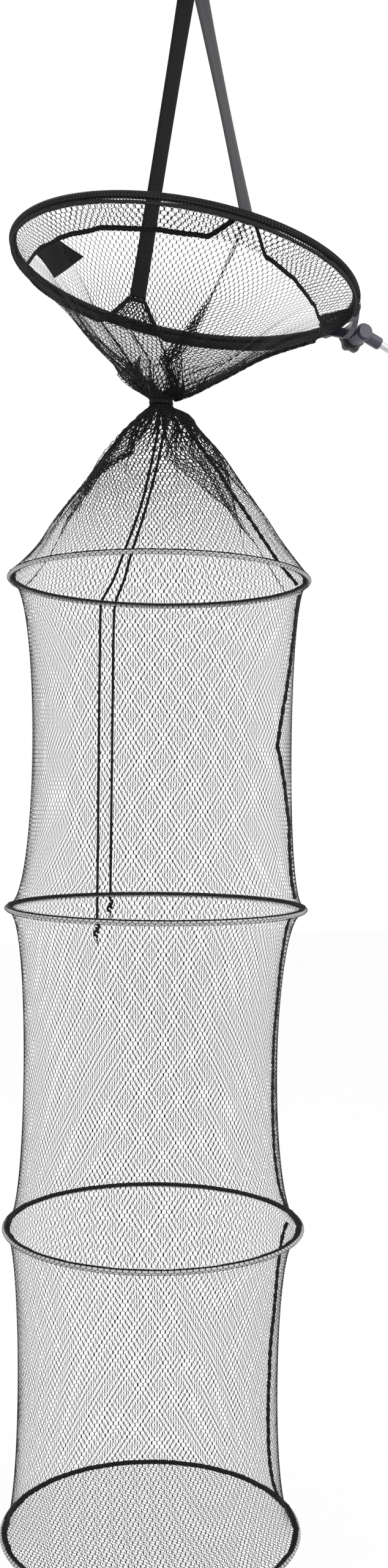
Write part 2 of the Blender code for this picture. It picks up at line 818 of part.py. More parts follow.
def bracket_bow():
    """Both legs as one bow. The near one stands off the ring, the far one hugs it past the knob."""
    tip = Vector((leg_line, lug_face + lug_width / 2, -lock_drop))
    past_knob = knob_face + knob_boss_length / 2
    sections = []
    for side, line, turn in ((near_side, leg_line, -near_leg_turn), (far_side, far_leg_line, past_knob)):
        out = Vector((math.cos(foot_angle), side * math.sin(foot_angle), 0))
        root = out * (foot_outside + foot_wall / 2)
        bow = Vector((line, turn, -lock_drop))
        leg = []
        for i in range(bow_points):
            t = i / (bow_points - 1)
            middle = root * (1 - t) ** 2 + bow * (2 * t * (1 - t)) + tip * t**2
            along = (bow - root).lerp(tip - bow, t) * -side
            across = Vector((along.x, along.y, 0)).normalized().cross(up)
            height = leg_foot_height + (leg_lug_height - leg_foot_height) * t
            leg.append(bar_loop(middle, across, up, leg_width, height))
        sections.append(leg)
    near_leg, far_leg = sections
    return skin(near_leg + list(reversed(far_leg[:-1])))


def bracket_foot(side):
    """A block over the ring, before the ring's own room is cut out of it."""
    angle = side * foot_angle
    out = Vector((math.cos(angle), math.sin(angle), 0))
    round_ring = Vector((-math.sin(angle), math.cos(angle), 0))
    inside = head_radius - head_tube_radius
    top = head_casing_outer + foot_hook
    low = -head_tube_radius - foot_skirt
    outline = [(inside, low), (foot_outside + foot_wall, low)]
    outline += [(foot_outside + foot_wall, top - foot_wall / 2)]
    outline += [(foot_outside + foot_wall / 2, top), (inside, top)]
    ends = (-foot_length / 2, foot_length / 2)
    return skin([[out * r + up * z + round_ring * end for r, z in outline] for end in ends])


def clamp_bracket(material, frame):
    """A wishbone: two feet hooked over the ring, two bowed legs and the lug that takes the bolt."""
    lug = rod(lug_radius, lug_face, lug_face + lug_width, lug_steps, edge_bevel)
    item = place("clamp_bracket", shifted(lug, lock_reach, 0, -lock_drop), material, frame)
    middle = Vector((leg_line, lug_face + lug_width / 2, -lock_drop))
    arm_end = Vector((lock_reach, middle.y, -lock_drop))
    along_ring = Vector((0, 1, 0))
    arm = [bar_loop(end, along_ring, up, arm_width, arm_height) for end in (middle, arm_end)]
    cut(item, place("lug_arm", skin(arm), material, frame, smooth=False), "UNION")
    cut(item, place("bracket_bow", bracket_bow(), material, frame, smooth=False), "UNION")
    for side, name in ((near_side, "near"), (far_side, "far")):
        cut(item, place(f"{name}_foot", bracket_foot(side), material, frame, smooth=False), "UNION")
    clear = (head_casing_outer + fit_gap) / math.cos(math.pi / 8) + fit_gap
    groove = [(head_radius + r, z) for r, z in arc(clear, 22.5, 337.5, 8)]
    cut(item, place("ring_groove", turned(groove, head_steps), material, frame))
    slot_out = head_radius + lip_slit + netting_thickness + fit_gap * 2
    slot_in = head_radius - foot_length
    low = lip_bottom - foot_skirt - cut_overrun
    slot = [(slot_in, low), (slot_out, low), (slot_out, 0), (slot_in, 0)]
    cut(item, place("lip_slot", turned(slot, head_steps), material, frame))
    bore = rod(bolt_radius + fit_gap, lug_face - cut_overrun, lug_face + lug_width + cut_overrun)
    cut(item, place("lug_bore", shifted(bore, lock_reach, 0, -lock_drop), material, frame))
    return item


def knuckle(material, parent):
    """The barrel on the bolt and the socket tube that holds the stud."""
    start = lug_face - fit_gap - barrel_width
    barrel = rod(barrel_radius, start, lug_face - fit_gap, barrel_steps, edge_bevel)
    item = place("knuckle", barrel, material, parent)
    middle = lug_face - fit_gap - barrel_width / 2
    profile = [(0, 0), (socket_radius, 0), (socket_radius, socket_reach - edge_bevel * 3)]
    profile += [(socket_mouth_radius, socket_reach), (0, socket_reach)]
    tube = turned(profile, lug_steps, closed=False)
    bmesh.ops.rotate(tube, verts=tube.verts, matrix=Matrix.Rotation(math.pi / 2, 3, "Y"))
    cut(item, place("socket_tube", shifted(tube, y=middle), material, parent), "UNION")
    hole = [(0, 0), (stud_radius + fit_gap * 2, 0)]
    hole += [(stud_radius + fit_gap * 2, stud_inside + cut_overrun), (0, stud_inside + cut_overrun)]
    bore = turned(hole, bolt_steps, closed=False)
    bmesh.ops.rotate(bore, verts=bore.verts, matrix=Matrix.Rotation(math.pi / 2, 3, "Y"))
    shifted(bore, x=socket_reach - stud_inside - fit_gap, y=middle)
    cut(item, place("socket_bore", bore, material, parent))
    bolt_way = rod(bolt_radius + fit_gap, start - cut_overrun, lug_face + cut_overrun)
    cut(item, place("knuckle_bore", bolt_way, material, parent))
    return item


def threaded_stud(material, parent):
    middle = lug_face - fit_gap - barrel_width / 2
    end = stud_length
    profile = [(0, 0), (stud_radius, 0), (stud_radius, end - stud_chamfer)]
    profile += [(stud_radius - stud_chamfer, end), (0, end)]
    stud = turned(profile, bolt_steps, closed=False)
    bmesh.ops.rotate(stud, verts=stud.verts, matrix=Matrix.Rotation(math.pi / 2, 3, "Y"))
    return place("threaded_stud", shifted(stud, socket_reach - stud_inside, middle), material, parent)


def star_knob(plastic, brass, parent):
    """A six-lobed knob on a round boss, with a metal insert for the bolt's thread."""
    count = knob_lobes * knob_lobe_steps
    boss_end = knob_face + knob_boss_length
    end = boss_end + knob_thickness
    rows = ((boss_end, 1 - knob_edge / knob_radius), (boss_end + knob_edge, 1))
    rows += ((end - knob_edge, 1), (end, 1 - knob_edge / knob_radius))
    loops = []
    for along, share in rows:
        loop = []
        for i in range(count):
            angle = math.tau * i / count
            radius = (knob_radius + knob_lobe_depth * math.cos(knob_lobes * angle)) * share
            loop.append((radius * math.cos(angle), along, radius * math.sin(angle)))
        loops.append(loop)
    item = place("star_knob", skin(loops), plastic, parent)
    boss = rod(knob_boss_radius, knob_face, boss_end + knob_edge)
    cut(item, place("knob_boss", boss, plastic, parent), "UNION")
    seat = rod(insert_radius + fit_gap, knob_face - cut_overrun, knob_face + insert_length + fit_gap)
    cut(item, place("insert_seat", seat, plastic, parent))

    sleeve = [(bolt_radius + fit_gap, knob_face), (insert_radius, knob_face)]
    sleeve += [(insert_radius, knob_face + insert_length)]
    sleeve += [(bolt_radius + fit_gap, knob_face + insert_length)]
    place("knob_insert", along_axis(turned(sleeve, bolt_steps)), brass, parent)
    return item


def label_flap(material, frame):
    """A bare folded label sewn to the face of the hem ribbon, lying down the inside of the cone."""
    inverse = frame.matrix_world.inverted()
    turn = inverse.to_3x3()
    centre, across, face = hem_place(label_angle)
    sideways = across.cross(face).normalized()
    hang = (across + face * label_lean).normalized()
    front = sideways.cross(hang).normalized()
    if front.dot(face) < 0:
        front = -front
    bow = label_size**2 / (8 * head_radius)
    top = centre + face * (hem_thickness / 2 + label_thickness / 2 + bow + fit_gap)
    loops = []
    for end in (0, label_size):
        middle = inverse @ (top + hang * end)
        loops.append(bar_loop(middle, turn @ sideways, turn @ front, label_size, label_thickness))
    return place("label_flap", skin(loops), material, frame, smooth=False)


def build():
    clear_scene()
    webbing = finish("webbing", (0.035, 0.035, 0.04), 0.8)
    netting = finish("netting", (0.02, 0.02, 0.022), 0.75)
    ribbon = finish("ribbon", (0.012, 0.012, 0.014), 0.85)
    rod_plastic = finish("hoop rod", (0.30, 0.31, 0.33), 0.25)
    tube_metal = finish("ring tube", (0.35, 0.36, 0.38), 0.35, 1.0)
    moulded = finish("moulded plastic", (0.07, 0.07, 0.08), 0.5)
    knob_plastic = finish("knob plastic", (0.045, 0.045, 0.05), 0.5)
    steel = finish("steel", (0.62, 0.63, 0.65), 0.25, 1.0)
    brass = finish("brass", (0.72, 0.52, 0.22), 0.35, 1.0)
    cord = finish("cord", (0.015, 0.015, 0.017), 0.8)
    label = finish("label", (0.02, 0.02, 0.022), 0.7)

    near, far = strap_end(near_side), strap_end(far_side)
    pivot = (near + far) / 2
    carry_strap(webbing)

    head_pivot = empty("head_pivot", None, pivot, (head_pitch, head_tilt, 0))
    ring_place = head_rotation().inverted() @ (head_centre - pivot)
    frame = empty("ring_frame", head_pivot, ring_place)
    lock_pivot = empty("lock_pivot", frame, (lock_reach, 0, -lock_drop))
    stud_frame = empty("stud_frame", lock_pivot, (0, 0, 0), (0, stud_droop, 0))
    knob_frame = empty("knob_frame", lock_pivot)
    neck_pivot = empty("neck_pivot", None, neck_centre)
    hoop_pivots = []
    for index in range(len(section_lengths) + 1):
        hoop_pivots.append(empty(f"hoop_pivot_{index + 1}", None, hoop_centre(index)))
    lean_frame = empty("lean_frame", hoop_pivots[0], (0, 0, 0), first_hoop_lean)
    bpy.context.view_layer.update()

    head_ring(tube_metal, frame)
    head_casing(netting, frame)
    collar(netting, frame)
    hem_ribbon(ribbon, frame)
    strap_gusset(netting, frame)
    label_flap(label, frame)
    netting_wall("upper_cone", upper_cone_loops(), netting, head_pivot)

    clamp_bracket(moulded, frame)
    lock_bolt(steel, moulded, lock_pivot)
    knuckle(moulded, stud_frame)
    threaded_stud(steel, stud_frame)
    star_knob(knob_plastic, brass, knob_frame)

    neck(netting, cord, neck_pivot)
    netting_wall("lower_cone", lower_cone_loops(), netting, neck_pivot)
    for name, route in (("left", left_cord_route), ("right", right_cord_route)):
        drawcord(f"drawcord_{name}", route, cord, neck_pivot)
        cord_knot(f"cord_knot_{name}", route, cord, hoop_pivots[0])

    for index, hoop_pivot in enumerate(hoop_pivots):
        carrier = lean_frame if index == 0 else hoop_pivot
        hoop(index, rod_plastic, carrier)
        hoop_casing(index, netting, carrier)
        if index < len(section_lengths):
            loops = section_loops(index, section_shares)
            net_wall(f"net_section_{index + 1}", loops, netting, hoop_pivot)
    base_net(netting, hoop_pivots[-1])
    seams(ribbon, head_pivot, neck_pivot, hoop_pivots)

    bpy.context.view_layer.update()
    axis = (far - near).normalized()
    print("strap hinge", tuple(round(v, 5) for v in pivot), tuple(round(v, 5) for v in axis))
    lock = lock_pivot.matrix_world
    lock_axis = lock.to_3x3() @ Vector((0, 1, 0))
    print("lock hinge", tuple(round(v, 5) for v in lock.translation), tuple(round(v, 5) for v in lock_axis))
    middle = lug_face - fit_gap - barrel_width / 2
    tip_place = Vector((socket_reach - stud_inside + stud_length, middle, 0))
    stud_tip = stud_frame.matrix_world @ tip_place
    stud_axis = stud_frame.matrix_world.to_3x3() @ Vector((1, 0, 0))
    print("stud tip", tuple(round(v, 5) for v in stud_tip), tuple(round(v, 5) for v in stud_axis))


build()
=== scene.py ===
import math

import bpy
import numpy as np
from mathutils import Euler, Matrix, Vector


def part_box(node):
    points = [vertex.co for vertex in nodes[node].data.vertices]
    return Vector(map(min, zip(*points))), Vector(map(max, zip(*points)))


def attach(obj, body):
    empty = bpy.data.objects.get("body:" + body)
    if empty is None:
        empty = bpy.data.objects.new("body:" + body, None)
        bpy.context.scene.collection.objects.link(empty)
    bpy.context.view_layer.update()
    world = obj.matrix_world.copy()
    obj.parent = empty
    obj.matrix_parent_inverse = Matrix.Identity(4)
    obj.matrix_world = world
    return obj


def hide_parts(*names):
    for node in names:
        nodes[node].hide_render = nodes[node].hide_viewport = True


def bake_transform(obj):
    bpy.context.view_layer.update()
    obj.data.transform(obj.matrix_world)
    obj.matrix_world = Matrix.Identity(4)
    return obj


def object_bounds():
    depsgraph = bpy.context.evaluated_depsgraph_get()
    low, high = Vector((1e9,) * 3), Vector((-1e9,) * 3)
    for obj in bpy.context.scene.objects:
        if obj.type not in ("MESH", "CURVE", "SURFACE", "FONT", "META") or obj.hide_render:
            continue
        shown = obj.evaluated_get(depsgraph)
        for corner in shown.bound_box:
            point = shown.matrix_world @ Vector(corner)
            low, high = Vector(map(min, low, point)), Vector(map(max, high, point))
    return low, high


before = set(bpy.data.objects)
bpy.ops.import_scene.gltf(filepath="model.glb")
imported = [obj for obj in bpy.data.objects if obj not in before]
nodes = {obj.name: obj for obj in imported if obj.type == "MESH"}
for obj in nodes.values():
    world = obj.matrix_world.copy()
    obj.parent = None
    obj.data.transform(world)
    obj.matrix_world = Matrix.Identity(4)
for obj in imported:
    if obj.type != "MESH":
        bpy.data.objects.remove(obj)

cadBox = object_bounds()
rng = np.random.default_rng(7)
up = np.array((0.0, 0.0, 1.0))
print("frame loaded:", len(nodes), "nodes")


def added(name, data):
    thing = bpy.data.objects.new(name, data)
    bpy.context.collection.objects.link(thing)
    return thing


def setInputs(node, **values):
    # a socket's name has _ where Blender has a space
    for socket, value in values.items():
        node.inputs[socket.replace("_", " ")].default_value = value


# Camera, light and floor

cameraSetup = {
    "place": (-0.7112, -1.9908, -1.0437),
    "heading": 20.0,  # degrees from +Y towards +X
    "pitch": -1.04,
    "roll": 0.57,
    "lens": 36.5,
    "sensor": 36.0,
}


def makeCamera():
    c = cameraSetup
    heading, pitch, roll = (math.radians(c[k]) for k in ("heading", "pitch", "roll"))
    level = math.cos(pitch)
    ahead = Vector((math.sin(heading) * level, math.cos(heading) * level, math.sin(pitch)))
    right = Vector((math.cos(heading), -math.sin(heading), 0))
    above = right.cross(ahead)
    rolledRight = right * math.cos(roll) + above * math.sin(roll)
    rolledUp = above * math.cos(roll) - right * math.sin(roll)
    data = bpy.data.cameras.new("camera")
    data.sensor_fit = "VERTICAL"
    data.sensor_height = c["sensor"]
    data.sensor_width = c["sensor"]
    data.lens = c["lens"]
    data.clip_end = 50
    camera = added("camera", data)
    camera.matrix_world = Matrix(
        [(*(a[i] for a in (rolledRight, rolledUp, -ahead)), c["place"][i]) for i in range(3)] + [(0, 0, 0, 1)]
    )
    bpy.context.scene.camera = camera


stageSetup = {
    "floorDrop": 0.06,  # below the lowest hoop
    "floorSize": 14.0,
    "floorColour": (0.86, 0.86, 0.86),
    "floorWhite": 0.93,  # how much of the floor's shade is hidden from the eye
    "worldStrength": 0.75,
    "lamps": (  # name, place, power
        ("key", (2.2, -2.6, 1.1), 60.0), ("fill", (-2.8, -1.8, 0.2), 22.0), ("back", (0.6, 2.8, 0.8), 25.0),
    ),
    "lampSize": 2.2,
}


def whiteToCamera(tree, shader, output, plain, share=1.0):
    # the backdrop shows as white to the eye, to gloss and to glass, and lights the net at a plain level
    path = tree.nodes.new("ShaderNodeLightPath")

    def combined(operation, *sources):
        node = tree.nodes.new("ShaderNodeMath")
        node.operation = operation
        for source, socket in zip(sources, node.inputs):
            tree.links.new(source, socket)
        return node

    seen = combined("MAXIMUM", path.outputs["Is Camera Ray"], path.outputs["Is Glossy Ray"])
    seen = combined("MAXIMUM", seen.outputs[0], path.outputs["Is Transmission Ray"])
    part = combined("MULTIPLY", seen.outputs[0])
    part.inputs[1].default_value = share
    mix = tree.nodes.new("ShaderNodeMixShader")
    for source, socket in zip((part, plain, shader), mix.inputs):
        tree.links.new(source.outputs[0], socket)
    tree.links.new(mix.outputs[0], output.inputs["Surface"])


def makeLamp(name, place, power, size, target):
    data = bpy.data.lights.new(name, "AREA")
    data.energy = power
    data.size = size
    lamp = added(name, data)
    lamp.location = place
    lamp.rotation_euler = (Vector(target) - Vector(place)).to_track_quat("-Z", "Y").to_euler()


def makeStage():
    s = stageSetup
    world = bpy.data.worlds.new("studio")
    bpy.context.scene.world = world
    world.use_nodes = True
    tree = world.node_tree
    tree.nodes.clear()
    seen, plain = tree.nodes.new("ShaderNodeBackground"), tree.nodes.new("ShaderNodeBackground")
    setInputs(seen, Strength=1.0, Color=(1, 1, 1, 1))
    setInputs(plain, Strength=s["worldStrength"], Color=(1, 1, 1, 1))
    output = tree.nodes.new("ShaderNodeOutputWorld")
    whiteToCamera(tree, seen, output, plain)

    low = cadBox[0].z - s["floorDrop"]
    half = s["floorSize"] / 2
    mesh = bpy.data.meshes.new("floor")
    corners = [(x * half, y * half, low) for x, y in ((-1, -1), (1, -1), (1, 1), (-1, 1))]
    mesh.from_pydata(corners, [], [(0, 1, 2, 3)])
    floor = added("floor", mesh)
    paint = bpy.data.materials.new("floor paint")
    paint.use_nodes = True
    tree = paint.node_tree
    shader = tree.nodes["Principled BSDF"]
    setInputs(shader, Base_Color=(*s["floorColour"], 1), Roughness=0.9)
    glow = tree.nodes.new("ShaderNodeEmission")
    setInputs(glow, Strength=1.0)
    whiteToCamera(tree, glow, tree.nodes["Material Output"], shader, s["floorWhite"])
    mesh.materials.append(paint)

    middle = (cadBox[0] + cadBox[1]) / 2
    for name, place, power in s["lamps"]:
        makeLamp(name, place, power, s["lampSize"], middle)
    bpy.context.scene.view_settings.view_transform = "Standard"


makeCamera()
makeStage()
print("camera, lamps and floor")


# Finishes

def newFinish(name, roughness, metallic=0.0, sheen=0.0, coat=0.0, shine=0.5):
    material = bpy.data.materials.new(name)
    material.use_nodes = True
    shader = material.node_tree.nodes["Principled BSDF"]
    setInputs(shader, Roughness=roughness, Metallic=metallic, Specular_IOR_Level=shine)
    setInputs(shader, Sheen_Weight=sheen, Sheen_Roughness=0.4, Coat_Weight=coat, Coat_Roughness=0.15)
    return material, material.node_tree, shader


def noise(tree, scale, detail, roughness=0.5):
    where = tree.nodes.new("ShaderNodeTexCoord")
    node = tree.nodes.new("ShaderNodeTexNoise")
    tree.links.new(where.outputs["Object"], node.inputs["Vector"])
    setInputs(node, Scale=scale, Detail=detail, Roughness=roughness)
    return node


def ramp(tree, source, stops):
    node = tree.nodes.new("ShaderNodeValToRGB")
    tree.links.new(source, node.inputs["Fac"])
    for element, (place, colour) in zip(node.color_ramp.elements, stops):
        element.position = place
        element.color = (*colour, 1)
    return node


def bumped(tree, shader, height, strength, distance, normal=None):
    node = tree.nodes.new("ShaderNodeBump")
    setInputs(node, Strength=strength, Distance=distance)
    tree.links.new(height, node.inputs["Height"])
    if normal:
        tree.links.new(normal, node.inputs["Normal"])
    tree.links.new(node.outputs["Normal"], shader.inputs["Normal"])
    return node.outputs["Normal"]


def speckled(name, dark, light, scale, roughness, bump, coat=0.0, metallic=0.0, shine=0.5):
    # a finish with fine grain: colour, gloss and height follow one noise
    material, tree, shader = newFinish(name, roughness, metallic=metallic, coat=coat, shine=shine)
    grain = noise(tree, scale, 6.0, 0.65)
    tint = ramp(tree, grain.outputs["Fac"], ((0.3, dark), (0.7, light)))
    tree.links.new(tint.outputs["Color"], shader.inputs["Base Color"])
    gloss = tree.nodes.new("ShaderNodeMapRange")
    setInputs(gloss, To_Min=max(roughness - 0.08, 0.02), To_Max=min(roughness + 0.08, 1))
    tree.links.new(grain.outputs["Fac"], gloss.inputs["Value"])
    tree.links.new(gloss.outputs["Result"], shader.inputs["Roughness"])
    bumped(tree, shader, grain.outputs["Fac"], bump, 0.0005)
    return material


def woven(name, dark, light, across, along, roughness, sheen, bump):
    # a weave read from the piece's own map: across its width in ends, along its length in picks
    material, tree, shader = newFinish(name, roughness, sheen=sheen, shine=0.25)
    where = tree.nodes.new("ShaderNodeTexCoord")
    spread = tree.nodes.new("ShaderNodeMapping")
    setInputs(spread, Scale=(across, along, 1))
    tree.links.new(where.outputs["UV"], spread.inputs["Vector"])
    weave = tree.nodes.new("ShaderNodeTexBrick")
    weave.offset = 0.5
    middle = tuple(0.6 * a + 0.4 * b for a, b in zip(light, dark))
    setInputs(weave, Scale=1.0, Mortar_Size=0.09, Mortar_Smooth=0.9, Brick_Width=1.0, Row_Height=0.5)
    setInputs(weave, Color1=(*light, 1), Color2=(*middle, 1), Mortar=(*dark, 1))
    tree.links.new(spread.outputs["Vector"], weave.inputs["Vector"])
    fuzz = noise(tree, 900.0, 4.0)
    mix = tree.nodes.new("ShaderNodeMix")
    mix.data_type = "RGBA"
    mix.blend_type = "MULTIPLY"
    setInputs(mix, Factor=0.6)
    tree.links.new(weave.outputs["Color"], mix.inputs[6])
    tree.links.new(fuzz.outputs["Fac"], mix.inputs[7])
    tree.links.new(mix.outputs[2], shader.inputs["Base Color"])
    low = bumped(tree, shader, weave.outputs["Fac"], -bump, 0.0004)
    bumped(tree, shader, fuzz.outputs["Fac"], bump * 0.5, 0.0002, low)
    return material


finishes = {
    # dark and light tone, grain, roughness, height of the grain
    "netting": speckled("net yarn", (0.004, 0.004, 0.005), (0.012, 0.012, 0.014), 900.0, 0.6, 0.5, shine=0.2),
    "ribbon": speckled("hem ribbon", (0.003, 0.003, 0.004), (0.010, 0.010, 0.011), 1400.0, 0.8, 0.8,
                       shine=0.15),
    "tape": speckled("mouth tape", (0.009, 0.009, 0.010), (0.019, 0.019, 0.021), 700.0, 0.7, 0.4, shine=0.25),
    "thread": speckled("sewing thread", (0.006, 0.006, 0.007), (0.022, 0.022, 0.025), 2600.0, 0.5, 0.4,
                       shine=0.3),
    "cord": speckled("cord", (0.003, 0.003, 0.004), (0.012, 0.012, 0.013), 1600.0, 0.7, 0.6, shine=0.2),
    "ring_tube": speckled("ring tube", (0.030, 0.030, 0.033), (0.045, 0.045, 0.050), 60.0, 0.25, 0.05),
    "hoop_rod": speckled("hoop rod", (0.46, 0.47, 0.49), (0.56, 0.57, 0.59), 50.0, 0.16, 0.05, coat=0.6),
    "moulded_plastic": speckled("moulded plastic", (0.043, 0.041, 0.062), (0.063, 0.060, 0.090), 700.0, 0.42,
                                0.25),
    "knob_plastic": speckled("knob plastic", (0.030, 0.030, 0.033), (0.050, 0.050, 0.055), 800.0, 0.45, 0.3),
    "steel": speckled("stud steel", (0.50, 0.51, 0.53), (0.66, 0.67, 0.69), 300.0, 0.24, 0.1, metallic=1.0),
    "brass": speckled("insert brass", (0.60, 0.42, 0.16), (0.74, 0.54, 0.25), 300.0, 0.3, 0.1, metallic=1.0),
    # dark and light tone, ends across, picks along, roughness, sheen, height of the weave
    "webbing": woven("webbing", (0.010, 0.010, 0.012), (0.075, 0.075, 0.083), 11.0, 560.0, 0.62, 0.1, 0.8),
    # a darker copy of the webbing, put on the strap's inner faces as painted shade
    "webbingPaintedShade": woven("webbing painted shade", (0.004, 0.004, 0.005), (0.014, 0.014, 0.016), 11.0, 560.0, 0.7,
                           0.0, 0.8),
    "label": woven("label cloth", (0.003, 0.003, 0.004), (0.012, 0.012, 0.014), 60.0, 60.0, 0.55, 0.0, 0.4),
}
print("finishes:", len(finishes))


# Meshes

def meshFrom(name, points, faces, finish, maps=None):
    # faces is an array of quads, or a list of arrays of faces of one size each
    groups = faces if isinstance(faces, list) else [faces]
    groups = [np.asarray(g, np.int32) for g in groups if len(g)]
    points = np.asarray(points, np.float32).reshape(-1, 3)
    mesh = bpy.data.meshes.new(name)
    mesh.vertices.add(len(points))
    mesh.vertices.foreach_set("co", points.ravel())
    corners = np.concatenate([g.ravel() for g in groups])
    sizes = np.concatenate([np.full(len(g), g.shape[1], np.int32) for g in groups])
    starts = np.concatenate(([0], np.cumsum(sizes)[:-1])).astype(np.int32)
    mesh.loops.add(len(corners))
    mesh.loops.foreach_set("vertex_index", corners)
    mesh.polygons.add(len(sizes))
    mesh.polygons.foreach_set("loop_start", starts)
    mesh.update(calc_edges=True)
    mesh.validate()
    if maps is not None:
        layer = mesh.uv_layers.new(name="weave")
        layer.data.foreach_set("uv", np.asarray(maps, np.float32)[corners].ravel())
    mesh.polygons.foreach_set("use_smooth", np.ones(len(mesh.polygons), bool))
    mesh.materials.append(finishes[finish])
    return added(name, mesh)


yarn = {
    "leg": 0.0003, "post": 0.00115, "height": 0.00023,  # widths of the two strands, and half their thickness
    "slackLeg": 1.5, "slackPost": 0.35,  # how much wider they get where the netting hangs loose
    "zig": 1 / 6,  # how far a leg's ends stand above and below its row
    "jitter": 0.02,
}


def unit(vectors):
    return vectors / np.maximum(np.linalg.norm(vectors, axis=-1, keepdims=True), 1e-12)


def normalAt(place, u, v, step=1e-4):
    return unit(np.cross(place(u + step, v) - place(u - step, v), place(u, v - step) - place(u, v + step)))


def hexNet(name, place, net, parts=("",)):
    # knotless netting as solid strands: a thick post between neighbouring cells, thin legs above and below.
    # place(u, v) gives points for shares round and down the sheet, which comes out in one piece or more.
    cells, rows, closed = net["cells"], net["rows"], net.get("closed", True)
    columns = 2 * cells + (0 if closed else 1)
    across, down = np.meshgrid(np.arange(columns), np.arange(rows + 1))
    lower = (across + down) % 2 == 1  # its post hangs below it
    zig = yarn["zig"]
    u = across / (2 * cells)
    v = (down + zig + np.where(lower, zig, -zig)) / (rows + 2 * zig)
    jitter = net.get("jitter", yarn["jitter"])
    u = u + rng.normal(0, jitter / (2 * cells), u.shape)
    v = v + rng.normal(0, jitter / rows, v.shape)
    centre, normal = place(u, v), normalAt(place, u, v)
    left, right = np.roll(centre, 1, 1), np.roll(centre, -1, 1)
    if not closed:
        left[:, 0], right[:, -1] = 2 * centre[:, 0] - centre[:, 1], 2 * centre[:, -1] - centre[:, -2]
    post = 2 * centre - (left + right) / 2
    post[:-1][lower[:-1]] = centre[1:][lower[:-1]]
    post[1:][~lower[1:]] = centre[:-1][~lower[1:]]

    def flat(ends):
        way = ends - centre
        return unit(way - normal * (way * normal).sum(-1, keepdims=True))

    toLeft, toRight, toPost = flat(left), flat(right), flat(post)

    def corner(first, firstWidth, second, secondWidth):
        # where the edges of two strands meet
        a, b = np.cross(normal, first), np.cross(second, normal)
        close = (a * b).sum(-1, keepdims=True)
        shared = (a + b) * (firstWidth + secondWidth) / 2 / np.maximum(1 + close, 0.45)
        apart = (a - b) * (firstWidth - secondWidth) / 2 / np.maximum(1 - close, 0.5)
        return centre + shared + apart

    slackness = net["swell"](v)[..., None] if "swell" in net else 0.0
    leg = net.get("leg", yarn["leg"]) / 2 * (1 + yarn["slackLeg"] * slackness)
    thick = net.get("post", yarn["post"]) / 2 * (1 + yarn["slackPost"] * slackness)
    isLower = lower[..., None]
    between = np.where(isLower, corner(toRight, leg, toLeft, leg), corner(toLeft, leg, toRight, leg))
    rightSide = np.where(isLower, corner(toPost, thick, toRight, leg), corner(toRight, leg, toPost, thick))
    leftSide = np.where(isLower, corner(toLeft, leg, toPost, thick), corner(toPost, thick, toLeft, leg))
    ridge = normal * yarn["height"] * (1 + slackness)
    layers = np.stack([centre + ridge, between, rightSide, leftSide, centre - ridge], 2)
    points = layers.reshape(-1, 3)
    count = layers.shape[2]

    index = np.arange(columns * (rows + 1)).reshape(rows + 1, columns)
    kept = net["keep"](u, v) if "keep" in net else np.ones(u.shape, bool)
    a, b = (index, np.roll(index, -1, 1)) if closed else (index[:, :-1], index[:, 1:])
    c, d = index[:-1][lower[:-1]], index[1:][lower[:-1]]
    shown = kept.ravel()
    a, b = (n.ravel()[shown[a.ravel()] | shown[b.ravel()]] for n in (a, b))
    c, d = (n[shown[c] | shown[d]] for n in (c, d))
    low = lower.ravel()

    def side(node, whenLower, whenUpper):
        return node * count + np.where(low[node], whenLower, whenUpper)

    top, bottom = (side(a, 1, 2), side(b, 1, 3)), (side(a, 2, 1), side(b, 3, 1))
    column = np.concatenate([np.tile(a % columns, 4), np.tile(c % columns, 4)])
    front, back = (a * count, b * count), (a * count + 4, b * count + 4)
    c, d = c * count, d * count
    quads = (
        (front[0], front[1], top[1], top[0]), (bottom[0], bottom[1], front[1], front[0]),
        (top[0], top[1], back[1], back[0]), (back[0], back[1], bottom[1], bottom[0]),
        (d + 3, d, c, c + 3), (d, d + 2, c + 2, c),
        (c + 3, c + 4, d + 4, d + 3), (c + 4, c + 2, d + 2, d + 4),
    )
    # the posts that would reach past the first and the last row are closed
    cut = np.concatenate([index[0][~lower[0]], index[-1][lower[-1]]])
    cut = cut[shown[cut]]
    column = np.concatenate([column, cut % columns])
    quads = (*quads, (cut * count, cut * count + 2, cut * count + 4, cut * count + 3))
    faces = np.concatenate([np.stack(q, 1) for q in quads])
    owner = column * len(parts) // columns
    pieces = []
    for k, part in enumerate(parts):
        used, mine = np.unique(faces[owner == k], return_inverse=True)
        pieces.append(meshFrom(name + part, points[used], mine.reshape(-1, 4), "netting"))
    return pieces


def lengthsAlong(path):
    return np.concatenate(([0], np.cumsum(np.linalg.norm(np.diff(path, axis=0), axis=1))))


def valuesAt(places, lengths, values):
    return np.stack([np.interp(places, lengths, values[:, k]) for k in range(3)], 1)


def curveFrames(path, closed, outward):
    # for each point of a path two ways across it, the second towards outward
    path = np.asarray(path, float)
    if closed:
        along = unit(np.roll(path, -1, 0) - np.roll(path, 1, 0))
    else:
        along = unit(np.gradient(path, axis=0))
    out = np.broadcast_to(np.asarray(outward, float), path.shape)
    out = unit(out - along * (out * along).sum(-1, keepdims=True))
    return np.cross(along, out), out


def gridQuads(index, closed=False):
    # faces between rings of point numbers
    here, ahead = (index, np.roll(index, -1, 0)) if closed else (index[:-1], index[1:])
    return np.stack((here, ahead, np.roll(ahead, -1, 1), np.roll(here, -1, 1)), -1).reshape(-1, 4)


def skin(name, points, finish, closed=False, maps=None):
    # over rings of points; an open one gets its two ends
    index = np.arange(points.shape[0] * points.shape[1]).reshape(points.shape[:2])
    ends = [] if closed else [index[:1], index[-1:, ::-1]]
    return meshFrom(name, points, [gridQuads(index, closed), *ends], finish, maps)


